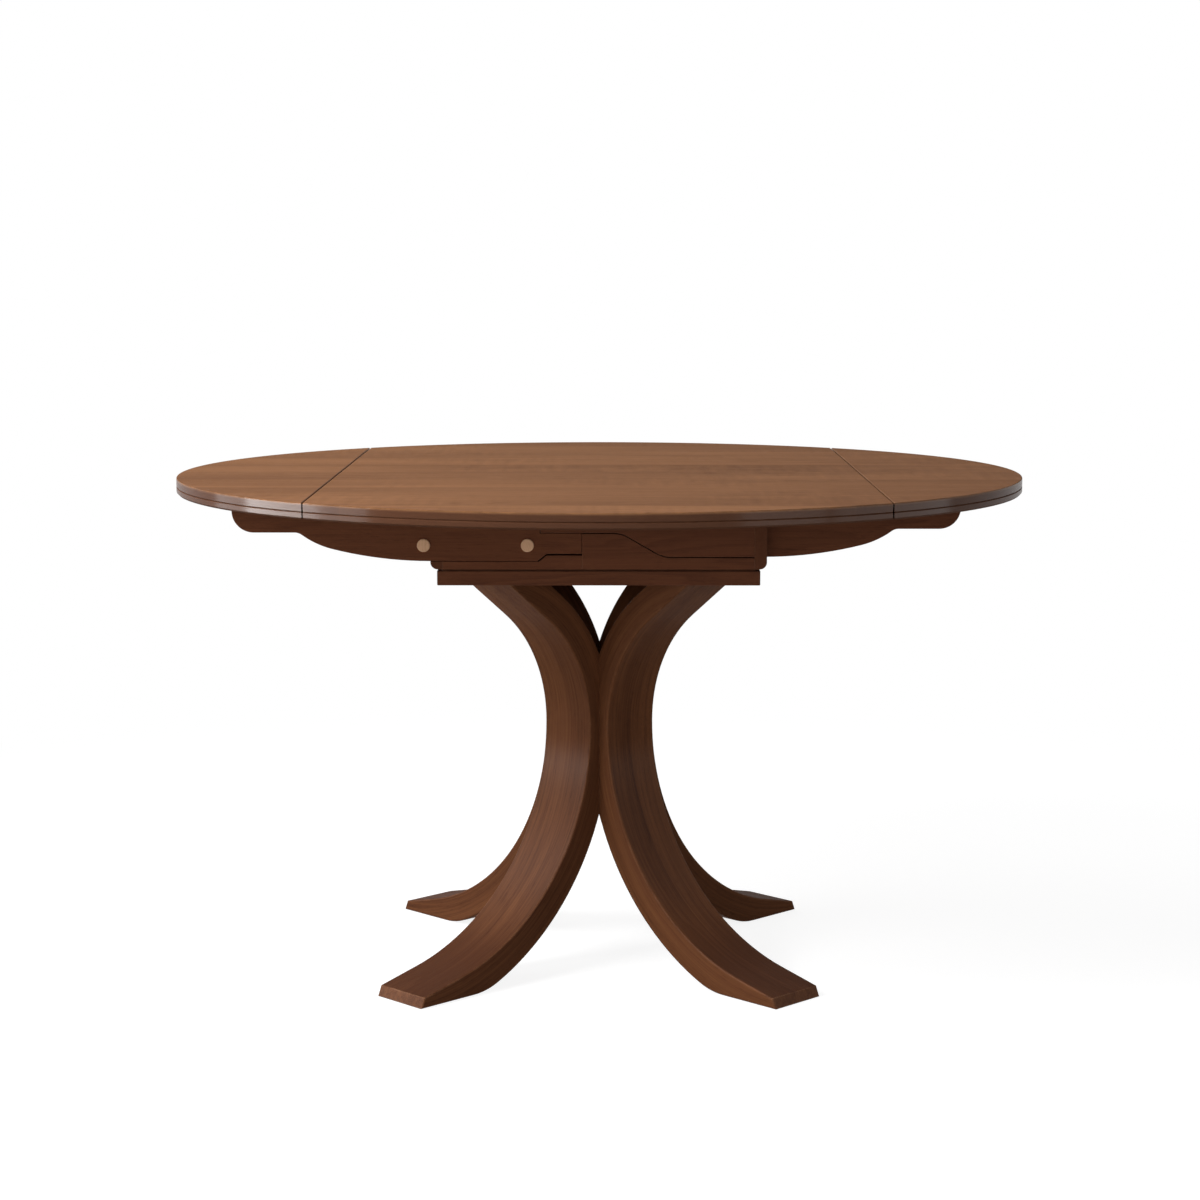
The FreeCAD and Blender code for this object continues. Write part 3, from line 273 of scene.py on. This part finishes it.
# End grain drinks more stain: End is the share by which a face looks along the grain.
def endGrainGroup():
    group, enter, leave = startGroup("endGrain", [
        ("Grain Direction", "Vector", (1.0, 0.0, 0.0)),
        ("Strength", "Float", 0.5),
    ], [("End", "Float")])
    geometry = addNode(group, "NewGeometry")
    facing = vectors(group, "DOT_PRODUCT", geometry.outputs["Normal"], enter["Grain Direction"])
    end = remap(group, maths(group, "ABSOLUTE", facing.outputs["Value"]), *masks["endRange"])
    group.links.new(maths(group, "MULTIPLY", end, enter["Strength"]), leave["End"])
    return group


# Painted shade: a little darker in corners and grooves, where faces of the piece close in.
def cornerShadeGroup():
    group, enter, leave = startGroup("cornerShade", [
        ("Reach", "Float", 0.006),
        ("Strength", "Float", 0.5),
    ], [("Corner", "Float")])
    openness = addNode(group, "AmbientOcclusion", {"Distance": enter["Reach"]},
                       samples=masks["samples"], only_local=True)
    corner = remap(group, openness.outputs["AO"], *masks["cornerRange"])
    group.links.new(maths(group, "MULTIPLY", corner, enter["Strength"]), leave["Corner"])
    return group


# The legs' grain follows their bends: a sweep below the waist and a flare above it.
# Each leg is another stick, so its place in the wood is shifted by its quarter.
legBend = {
    "waistHeight": 0.376,
    "waistReach": 0.0687,
    "sweepRadius": 0.3525,
    "flareRadius": 0.2206,
    "halfThickness": 0.0225,
    "shiftBySide": 1.7,
    "shiftByFront": 0.9,
}


def legGrainGroup():
    group, enter, leave = startGroup("legGrain", [
        ("Position", "Vector", None),
    ], [("Grain Space", "Vector")])
    diagonal = math.sqrt(0.5)
    place = addNode(group, "SeparateXYZ", {0: enter["Position"]}).outputs
    side = maths(group, "ABSOLUTE", place[0])
    front = maths(group, "ABSOLUTE", place[1])
    reach = maths(group, "MULTIPLY", maths(group, "ADD", side, front), diagonal)
    across = maths(group, "MULTIPLY", maths(group, "SUBTRACT", side, front), diagonal)
    rise = maths(group, "SUBTRACT", place[2], legBend["waistHeight"])
    above = maths(group, "GREATER_THAN", rise, 0.0)
    radius = remap(group, above, 0.0, 1.0, legBend["sweepRadius"], legBend["flareRadius"], smooth=False)
    centre = maths(group, "ADD", radius, legBend["waistReach"])
    inward = maths(group, "SUBTRACT", centre, reach)
    distance = maths(group, "SQRT", maths(group, "ADD", maths(group, "MULTIPLY", inward, inward),
                                          maths(group, "MULTIPLY", rise, rise)))
    depth = maths(group, "SUBTRACT", distance, radius)
    angle = maths(group, "ARCTAN2", rise, inward)
    along = maths(group, "MULTIPLY", angle, maths(group, "ADD", radius, legBend["halfThickness"]))
    byFront = maths(group, "MULTIPLY", maths(group, "SIGN", place[1]), legBend["shiftByFront"])
    quarter = maths(group, "MULTIPLY_ADD", maths(group, "SIGN", place[0]), legBend["shiftBySide"], byFront)
    shifted = maths(group, "ADD", along, quarter)
    space = addNode(group, "CombineXYZ", {0: shifted, 1: across, 2: depth}).outputs[0]
    group.links.new(space, leave["Grain Space"])
    return group


hardwood = hardwoodGroup()
edgeWearAndHighlight = edgeWearAndHighlightGroup()
endGrain = endGrainGroup()
cornerShade = cornerShadeGroup()
legGrain = legGrainGroup()
print("shader groups built:", len(bpy.data.node_groups))


def newMaterial(name):
    material = bpy.data.materials.new(name)
    material.use_nodes = True
    tree = material.node_tree
    tree.nodes.clear()
    output = addNode(tree, "OutputMaterial")
    return material, tree, output


# Straight grain: the coordinates in the order of the grain space, and the grain's direction.
straightGrain = {
    "x": {"order": (0, 1, 2), "direction": (1.0, 0.0, 0.0)},
    "y": {"order": (1, 0, 2), "direction": (0.0, 1.0, 0.0)},
}


def grainSpace(tree, position, axis):
    if axis == "leg":
        return useGroup(tree, legGrain, {"Position": position})["Grain Space"]
    place = addNode(tree, "SeparateXYZ", {0: position}).outputs
    wires = {spot: place[source] for spot, source in enumerate(straightGrain[axis]["order"])}
    return addNode(tree, "CombineXYZ", wires).outputs[0]


# Stain on end grain; painted shade in corners and grooves and below the top's upper edge; darker on upward
# faces near the floor.
def addStainsAndShade(tree, look, colour, position, tilt):
    if look["axis"] in straightGrain:
        direction = straightGrain[look["axis"]]["direction"]
        end = useGroup(tree, endGrain, {"Grain Direction": direction, "Strength": look["endStain"]})["End"]
        colour = mixColour(tree, end, colour, look["dark"])
    # Painted shade in corners and grooves.
    corner = useGroup(tree, cornerShade, {"Strength": look["cornerShade"]})["Corner"]
    colour = mixColour(tree, corner, colour, look["cornerShadeTone"])
    height = upPart(tree, position)
    # Painted shade: the rim and the faces below the top's upper edge are darkened.
    rim = remap(tree, height, *look["rimRange"])
    colour = mixColour(tree, maths(tree, "MULTIPLY", rim, look["rimShade"]), colour, look["rimShadeAndFootTone"])
    # Darker on upward faces near the floor.
    low = remap(tree, height, *look["footRange"])
    foot = maths(tree, "MULTIPLY", low, remap(tree, tilt, *look["footTiltRange"]))
    return mixColour(tree, maths(tree, "MULTIPLY", foot, look["footDarkening"]), colour, look["rimShadeAndFootTone"])


# What a finish passes on to the hardwood group.
grainTitles = ("Plank Width", "Plank Contrast", "Ring Width", "Ring Contrast", "Streak Contrast",
               "Pore Contrast", "Curl Contrast", "Cloud Contrast", "Clouds Across")


# A wood finish: stained hardwood, worn edges that on the legs also paint an arris highlight, painted shade
# and satin lacquer. Polished holds four tilts:
# the gloss begins at the first, is full from the second to the third and ends at the fourth.
def makeWood(name, look):
    material, tree, output = newMaterial(name)
    position = objectPosition(tree)
    wires = {"Grain Space": grainSpace(tree, position, look["axis"]), "Light Tone": look["light"],
             "Dark Tone": look["dark"], "Seed": look["seed"]}
    wires.update({title: look[title] for title in grainTitles})
    wood = useGroup(tree, hardwood, wires)
    tilt = upPart(tree, addNode(tree, "NewGeometry").outputs["Normal"])
    bottom, low, high, top = look["polished"]
    polished = maths(tree, "MULTIPLY", remap(tree, tilt, bottom, low), remap(tree, tilt, top, high))
    colour = addStainsAndShade(tree, look, wood["Colour"], position, tilt)
    # Lighter worn edges; on the legs they also paint the highlight along the arris.
    edges = useGroup(tree, edgeWearAndHighlight, {"Position": position, "Radius": look["edgeRadius"],
                                      "Strength": look["edgeWearAndHighlight"]})
    colour = mixColour(tree, edges["Edge"], colour, look["wornAndLitEdge"])
    roughness = remap(tree, wood["Gloss"], 0.0, 1.0, *look["roughness"], smooth=False)
    bump = addNode(tree, "Bump", {"Height": wood["Relief"], "Strength": look["relief"],
                                  "Distance": look["reliefDepth"], "Normal": edges["Normal"]})
    shader = addNode(tree, "BsdfPrincipled", {
        "Base Color": colour,
        "Roughness": roughness,
        "Normal": bump.outputs[0],
        "Specular IOR Level": look["specular"],
        "Coat Weight": maths(tree, "MULTIPLY", polished, look["coat"]),
        "Coat Roughness": look["coatRoughness"],
        "Coat IOR": look["coatIOR"],
    })
    tree.links.new(shader.outputs[0], output.inputs["Surface"])
    return material


# Tones are as the eye sees them, 0 to 255.
def tone(red, green, blue):
    def linear(level):
        share = level / 255
        return share / 12.92 if share <= 0.04045 else ((share + 0.055) / 1.055) ** 2.4
    return (linear(red), linear(green), linear(blue), 1.0)


# Finishes of the table. What a finish doesn't state is as in the common one.
commonFinish = {
    "wornAndLitEdge": tone(150, 108, 80),
    # Tone of the painted shade on the rim, also used to darken upward faces near the floor.
    "rimShadeAndFootTone": tone(70, 40, 26),
    # Near-black of the painted shade in corners and grooves.
    "cornerShadeTone": (0.012, 0.006, 0.004, 1.0),
    "endStain": 0.55,
    "cornerShade": 0.5,
    "rimShade": 0.0,
    "rimRange": (0.7645, 0.7605),
    "footDarkening": 0.0,
    "footRange": (0.11, 0.04),
    "footTiltRange": (0.7, 0.92),
    "polished": (-0.8, -0.4, 0.4, 0.8),
    "edgeRadius": 0.0022,
    "edgeWearAndHighlight": 0.3,
    "relief": 0.35,
    "reliefDepth": 0.0004,
    "roughness": (0.55, 0.72),
    "specular": 0.06,
    "coat": 0.08,
    "coatRoughness": 0.4,
    "coatIOR": 1.4,
    "Plank Width": 4.0,
    "Plank Contrast": 0.0,
    "Pore Contrast": 0.3,
    "Streak Contrast": 0.6,
    "Curl Contrast": 0.0,
    "Clouds Across": 9.0,
}

maple = {
    "light": tone(237, 193, 156), "dark": tone(211, 163, 126), "wornAndLitEdge": tone(242, 208, 178),
    "roughness": (0.45, 0.6), "endStain": 0.1, "cornerShade": 0.1,
    "Ring Width": 0.003, "Ring Contrast": 0.35, "Streak Contrast": 0.4, "Cloud Contrast": 0.4,
}

finishes = {
    "topWood": {
        "axis": "x", "seed": 3.0,
        "light": tone(147, 102, 68), "dark": tone(98, 64, 41),
        "roughness": (0.7, 0.85), "specular": 0.04, "coat": 0.41, "coatRoughness": 0.14, "coatIOR": 1.3,
        # The rim below the upper edge carries painted shade; corners and the groove a little painted
        # shade.
        "cornerShade": 0.15, "rimShade": 0.85, "edgeWearAndHighlight": 0.1,
        "Plank Width": 0.137, "Plank Contrast": 0.17, "Ring Width": 0.0075, "Ring Contrast": 0.16,
        "Streak Contrast": 0.5, "Curl Contrast": 0.5, "Cloud Contrast": 1.2, "Clouds Across": 4.5,
    },
    "legWood": {
        "axis": "leg", "seed": 11.0,
        "light": tone(116, 73, 46), "dark": tone(74, 43, 27),
        "coat": 0.14, "coatRoughness": 0.36, "specular": 0.03, "polished": (0.04, 0.2, 0.65, 0.95),
        # Strong edge wear on the legs also paints the arris highlight; the foot share darkens upward faces
        # near the floor.
        "footDarkening": 0.7, "edgeWearAndHighlight": 0.9, "edgeRadius": 0.004,
        "Ring Width": 0.012, "Ring Contrast": 0.16, "Streak Contrast": 1.0, "Cloud Contrast": 1.5,
    },
    "armWood": {
        "axis": "x", "seed": 21.0,
        "light": tone(118, 71, 46), "dark": tone(84, 48, 31), "cornerShade": 0.35,
        "Ring Width": 0.008, "Ring Contrast": 0.25, "Cloud Contrast": 0.7,
    },
    "boxWood": {
        "axis": "x", "seed": 31.0,
        "light": tone(111, 66, 43), "dark": tone(78, 44, 29), "cornerShade": 0.35,
        "Ring Width": 0.007, "Ring Contrast": 0.3, "Cloud Contrast": 0.8,
    },
    # Runners and inner boards: painted light, a lighter tone than the box wood that offsets the shade in
    # the recess where they show.
    "slideWoodPaintedLight": {
        "axis": "x", "seed": 61.0,
        "light": tone(146, 90, 59), "dark": tone(106, 63, 41),
        "Ring Width": 0.007, "Ring Contrast": 0.2, "Cloud Contrast": 0.6,
    },
    "crossWood": {
        "axis": "y", "seed": 41.0,
        "light": tone(116, 70, 45), "dark": tone(82, 47, 30),
        "Ring Width": 0.007, "Ring Contrast": 0.3, "Cloud Contrast": 0.7,
    },
    "plateWood": {
        "axis": "x", "seed": 51.0,
        "light": tone(116, 70, 46), "dark": tone(82, 47, 31),
        "Plank Width": 0.119, "Plank Contrast": 0.3,
        "Ring Width": 0.008, "Ring Contrast": 0.25, "Cloud Contrast": 0.7,
    },
    "pegMaple": {**maple, "axis": "y", "seed": 71.0, "edgeRadius": 0.0008},
    "pinMaple": {**maple, "axis": "x", "seed": 81.0, "edgeRadius": 0.0006},
}
woods = {name: makeWood(name, {**commonFinish, **look}) for name, look in finishes.items()}
print("woods:", ", ".join(woods))


# Zinc plated steel: a mottled grey, brighter where its edges are rubbed. Mottle and grit
# below are noises, each with its scale, detail and roughness.
platedSteel = {
    "bright": tone(196, 196, 198),
    "dull": tone(142, 141, 140),
    "mottle": (420.0, 3.0, 0.6),
    "mottleRange": (0.3, 0.7),
    "roughness": (0.24, 0.48),
    "edges": {"Radius": 0.0004, "Breakup": 300.0, "Strength": 0.8},
    "relief": {"Strength": 0.15, "Distance": 0.0001},
}


def makeSteel():
    material, tree, output = newMaterial("platedSteel")
    position = objectPosition(tree)
    mottle = noise(tree, position, *platedSteel["mottle"])
    edges = useGroup(tree, edgeWearAndHighlight, {"Position": position, **platedSteel["edges"]})
    colour = mixColour(tree, mottle, platedSteel["bright"], platedSteel["dull"])
    colour = mixColour(tree, edges["Edge"], colour, platedSteel["bright"])
    roughness = remap(tree, mottle, *platedSteel["mottleRange"], *platedSteel["roughness"], smooth=False)
    bump = addNode(tree, "Bump", {"Height": mottle, "Normal": edges["Normal"], **platedSteel["relief"]})
    shader = addNode(tree, "BsdfPrincipled", {"Base Color": colour, "Roughness": roughness,
                                              "Metallic": 1.0, "Normal": bump.outputs[0]})
    tree.links.new(shader.outputs[0], output.inputs["Surface"])
    return material


# Moulded plastic glides, scuffed where they meet the floor.
glidePlastic = {
    "body": tone(52, 48, 46),
    "scuff": tone(104, 98, 92),
    "wearRange": (0.0016, 0.0),
    "grit": (900.0, 3.0, 0.7),
    "gritRange": (0.3, 0.7),
    "scuffRange": (0.35, 0.65),
    "roughness": (0.42, 0.62),
    "relief": {"Strength": 0.2, "Distance": 0.0001},
}


def makeGlide():
    material, tree, output = newMaterial("glidePlastic")
    position = objectPosition(tree)
    grit = noise(tree, position, *glidePlastic["grit"])
    low = remap(tree, upPart(tree, position), *glidePlastic["wearRange"])
    scuff = maths(tree, "MULTIPLY", low, remap(tree, grit, *glidePlastic["scuffRange"]))
    colour = mixColour(tree, scuff, glidePlastic["body"], glidePlastic["scuff"])
    roughness = remap(tree, grit, *glidePlastic["gritRange"], *glidePlastic["roughness"], smooth=False)
    bump = addNode(tree, "Bump", {"Height": grit, **glidePlastic["relief"]})
    shader = addNode(tree, "BsdfPrincipled", {"Base Color": colour, "Roughness": roughness,
                                              "Normal": bump.outputs[0]})
    tree.links.new(shader.outputs[0], output.inputs["Surface"])
    return material


steel = makeSteel()
glide = makeGlide()


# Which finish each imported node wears, by a word in its name. The first match counts.
finishByWord = (
    ("foot_glide", glide),
    ("screws", steel),
    ("leg_bolts", steel),
    ("alignment_pins", woods["pinMaple"]),
    ("peg", woods["pegMaple"]),
    ("runner_stops", woods["pegMaple"]),
    ("pedestal_plate", woods["plateWood"]),
    ("pedestal_core", woods["crossWood"]),
    # Runners and inner box boards wear the lighter tone that offsets the recess's shade.
    ("runner", woods["slideWoodPaintedLight"]),
    ("box_board", woods["slideWoodPaintedLight"]),
    ("panel", woods["topWood"]),
    ("_arm", woods["armWood"]),
    ("batten", woods["crossWood"]),
    ("end_rail", woods["crossWood"]),
    ("leg_", woods["legWood"]),
    ("box_", woods["boxWood"]),
    ("corner_block", woods["boxWood"]),
)


def finishFor(name):
    return next(material for word, material in finishByWord if word in name)


for name, piece in nodes.items():
    material = finishFor(name)
    if not piece.material_slots:
        piece.data.materials.append(material)
    for place in piece.material_slots:
        place.material = material
print("finishes placed on", len(nodes), "nodes")


# Cross-head screws stand for the plain stepped ones where a head can be seen from below.
# Weld distance, height and shank radius are in metres, rings and sides are counts, and the
# rest are shares of the head, the shank or the cross.
screwHead = {
    "weld": 1e-6,
    "height": 0.003,
    "shankRadius": 0.0025,
    "tip": 0.6,
    "underside": 0.94,
    "edgeRise": 0.4,
    "dome": 0.25,
    "flat": 0.72,
    "rings": 5,
    "sides": 32,
    "crossReach": 0.55,
    "crossWidth": 0.16,
    "crossDepth": 0.55,
    "crossTaper": 0.45,
}


# The separate solids of a node, as (middle x, middle y, low z, high z, head radius).
def islandsOf(piece):
    mesh = bmesh.new()
    mesh.from_mesh(piece.data)
    bmesh.ops.remove_doubles(mesh, verts=mesh.verts, dist=screwHead["weld"])
    left = set(mesh.verts)
    found = []
    while left:
        queue = [left.pop()]
        island = list(queue)
        while queue:
            for edge in queue.pop().link_edges:
                for vertex in edge.verts:
                    if vertex in left:
                        left.remove(vertex)
                        queue.append(vertex)
                        island.append(vertex)
        xs, ys, zs = zip(*(vertex.co for vertex in island))
        middle = ((min(xs) + max(xs)) / 2, (min(ys) + max(ys)) / 2)
        found.append((*middle, min(zs), max(zs), (max(xs) - min(xs)) / 2))
    mesh.free()
    return sorted(found)


# The cross's outline: three corners, turned by a quarter four times.
def crossOutline(radius):
    reach = radius * screwHead["crossReach"]
    width = radius * screwHead["crossWidth"]
    corners = [(reach, -width), (reach, width), (width, width)]
    outline = []
    for quarter in range(4):
        outline += corners
        corners = [(-y, x) for x, y in corners]
    return outline


# One screw, head down, in the place of one island of the node.
def addScrew(mesh, island):
    x, y, low, high, radius = island
    sides = screwHead["sides"]
    shank = screwHead["shankRadius"]
    flat = screwHead["flat"]
    dome = screwHead["height"] * screwHead["dome"]
    seat = low + screwHead["height"]
    rim = low + dome
    turns = [2 * math.pi * step / sides for step in range(sides)]

    def ringAt(size, height):
        return [mesh.verts.new((x + size * math.cos(turn), y + size * math.sin(turn), height))
                for turn in turns]

    def bridge(first, second):
        count = len(first)
        for step in range(count):
            following = (step + 1) % count
            mesh.faces.new((first[step], first[following], second[following], second[step]))

    rings = [ringAt(shank * screwHead["tip"], high), ringAt(shank, high - shank), ringAt(shank, seat),
             ringAt(radius * screwHead["underside"], seat),
             ringAt(radius, seat - dome * screwHead["edgeRise"])]
    for step in range(screwHead["rings"] + 1):
        angle = math.pi / 2 * step / screwHead["rings"]
        size = radius * (flat + (1 - flat) * math.cos(angle))
        rings.append(ringAt(size, rim - dome * math.sin(angle)))
    for first, second in zip(rings, rings[1:]):
        bridge(first, second)
    mesh.faces.new(list(reversed(rings[0])))
    # The face between the head's rim and the cross, then the cross's walls and floor.
    depth = screwHead["height"] * screwHead["crossDepth"]
    taper = screwHead["crossTaper"]
    outline = crossOutline(radius)
    top = [mesh.verts.new((x + dx, y + dy, low)) for dx, dy in outline]
    floor = [mesh.verts.new((x + dx * taper, y + dy * taper, low + depth)) for dx, dy in outline]
    outer = rings[-1]
    edges = [mesh.edges.get((outer[step], outer[(step + 1) % sides])) for step in range(sides)]
    edges += [mesh.edges.new((top[step], top[(step + 1) % len(top)])) for step in range(len(top))]
    bmesh.ops.triangle_fill(mesh, use_beauty=True, edges=edges, normal=(0, 0, -1))
    bridge(top, floor)
    mesh.faces.new(floor)


def makeScrews(nodeName, body):
    mesh = bmesh.new()
    for island in islandsOf(nodes[nodeName]):
        addScrew(mesh, island)
    bmesh.ops.recalc_face_normals(mesh, faces=mesh.faces)
    data = bpy.data.meshes.new("crosshead_" + nodeName)
    mesh.to_mesh(data)
    mesh.free()
    data.materials.append(steel)
    piece = bpy.data.objects.new("crosshead_" + nodeName, data)
    bpy.context.scene.collection.objects.link(piece)
    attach(piece, body)
    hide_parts(nodeName)


for nodeName, body in (("plate_screws", "base"), ("top_screws", "base"),
                       ("left_leaf_screws", "left_leaf"), ("right_leaf_screws", "right_leaf")):
    makeScrews(nodeName, body)
print("cross-head screws made")


# Floor, world, lamps and camera

studio = {
    "floorSize": 60.0,
    "floorTone": 0.3,
    "floorGlow": 0.87,
    "whiteRange": (0.9, 2.2),
    "worldStrength": 0.3,
}


# One for rays from the camera, from mirrors or through glass, nought for those that light.
def seenRays(tree):
    light = addNode(tree, "LightPath").outputs
    indirect = maths(tree, "MAXIMUM", light["Is Glossy Ray"], light["Is Transmission Ray"])
    return maths(tree, "MAXIMUM", light["Is Camera Ray"], indirect)


# Where it is seen, the floor glows, and turns to plain white further out.
def makeFloor():
    half = studio["floorSize"] / 2
    corners = [(-half, -half, 0), (half, -half, 0), (half, half, 0), (-half, half, 0)]
    data = bpy.data.meshes.new("floor")
    data.from_pydata(corners, [], [(0, 1, 2, 3)])
    floor = bpy.data.objects.new("floor", data)
    bpy.context.scene.collection.objects.link(floor)
    material, tree, output = newMaterial("paleFloor")
    grey = (studio["floorTone"],) * 3 + (1.0,)
    plain = addNode(tree, "BsdfDiffuse", {"Color": grey}).outputs[0]
    glow = addNode(tree, "Emission", {"Strength": studio["floorGlow"]}).outputs[0]
    near = addNode(tree, "AddShader", {0: plain, 1: glow}).outputs[0]
    white = addNode(tree, "Emission", {"Strength": 1.0}).outputs[0]
    away = vectors(tree, "LENGTH", objectPosition(tree)).outputs["Value"]
    far = remap(tree, away, *studio["whiteRange"])
    shown = addNode(tree, "MixShader", {0: far, 1: near, 2: white}).outputs[0]
    both = addNode(tree, "MixShader", {0: seenRays(tree), 1: plain, 2: shown}).outputs[0]
    tree.links.new(both, output.inputs["Surface"])
    data.materials.append(material)


def makeWorld():
    world = bpy.data.worlds.new("studioWorld")
    bpy.context.scene.world = world
    world.use_nodes = True
    tree = world.node_tree
    tree.nodes.clear()
    strength = remap(tree, seenRays(tree), 0.0, 1.0, studio["worldStrength"], 1.0, smooth=False)
    background = addNode(tree, "Background", {"Color": (1.0, 1.0, 1.0, 1.0), "Strength": strength})
    output = addNode(tree, "OutputWorld")
    tree.links.new(background.outputs[0], output.inputs["Surface"])


# Soft boxes: name, place, height on the table's axis at which it points, width, height,
# power in watts, and whether it lights, is mirrored by polished faces, or both.
lamps = (
    ("leftWindow", (-3.6, -0.35, 0.43), 0.6, 1.7, 0.24, 37.0, "mirrored"),
    ("leftNear", (-3.5, -1.7, 0.43), 0.6, 1.0, 0.24, 8.5, "mirrored"),
    ("leftFar", (-3.5, 0.95, 0.43), 0.6, 0.9, 0.24, 3.6, "mirrored"),
    ("rightWindow", (3.6, -0.8, 0.45), 0.6, 2.6, 0.3, 7.0, "mirrored"),
    ("rightNear", (2.9, -2.9, 0.43), 0.6, 1.6, 0.3, 4.8, "mirrored"),
    ("leftHigh", (-3.0, 0.5, 2.1), 0.3, 1.2, 1.2, 26.0, "mirrored"),
    ("leftFill", (-3.4, -0.3, 0.3), 0.6, 1.8, 0.5, 22.0, "lights"),
    ("highLeft", (-2.6, -1.6, 2.8), 0.4, 1.6, 1.6, 140.0, "both"),
    ("highBack", (-2.4, 1.2, 3.0), 0.4, 2.0, 2.0, 28.0, "both"),
    ("frontFill", (-0.3, -4.5, 0.9), 0.6, 2.0, 1.6, 39.0, "lights"),
)


def makeLamp(name, place, aim, width, height, power, effect):
    data = bpy.data.lights.new(name, "AREA")
    data.shape = "RECTANGLE"
    data.size = width
    data.size_y = height
    data.energy = power
    lamp = bpy.data.objects.new(name, data)
    lamp.visible_glossy = effect != "lights"
    lamp.visible_diffuse = effect != "mirrored"
    lamp.location = place
    view = Vector((0.0, 0.0, aim)) - Vector(place)
    lamp.rotation_euler = view.to_track_quat("-Z", "Y").to_euler()
    bpy.context.scene.collection.objects.link(lamp)


# The camera stands where the photograph was taken from: the rim's ellipse, the seams
# and the feet agree with it. Focal length is in pixels of the 1200 pixel frame.
camera = {
    "place": (0.0168, -4.0327, 1.0998),
    "pitch": 0.13212,
    "turn": 0.00391,
    "focalPixels": 2597.27,
    "frameWidth": 1200,
    "sensor": 36.0,
    "farthest": 200.0,
}


def makeCamera():
    data = bpy.data.cameras.new("camera")
    data.sensor_width = camera["sensor"]
    data.lens = camera["focalPixels"] / camera["frameWidth"] * camera["sensor"]
    data.clip_end = camera["farthest"]
    eye = bpy.data.objects.new("camera", data)
    eye.location = camera["place"]
    eye.rotation_euler = (math.pi / 2 - camera["pitch"], 0.0, camera["turn"])
    bpy.context.scene.collection.objects.link(eye)
    bpy.context.scene.camera = eye


makeFloor()
makeWorld()
for lamp in lamps:
    makeLamp(*lamp)
makeCamera()
bpy.context.scene.view_settings.view_transform = "Standard"
print("studio ready")
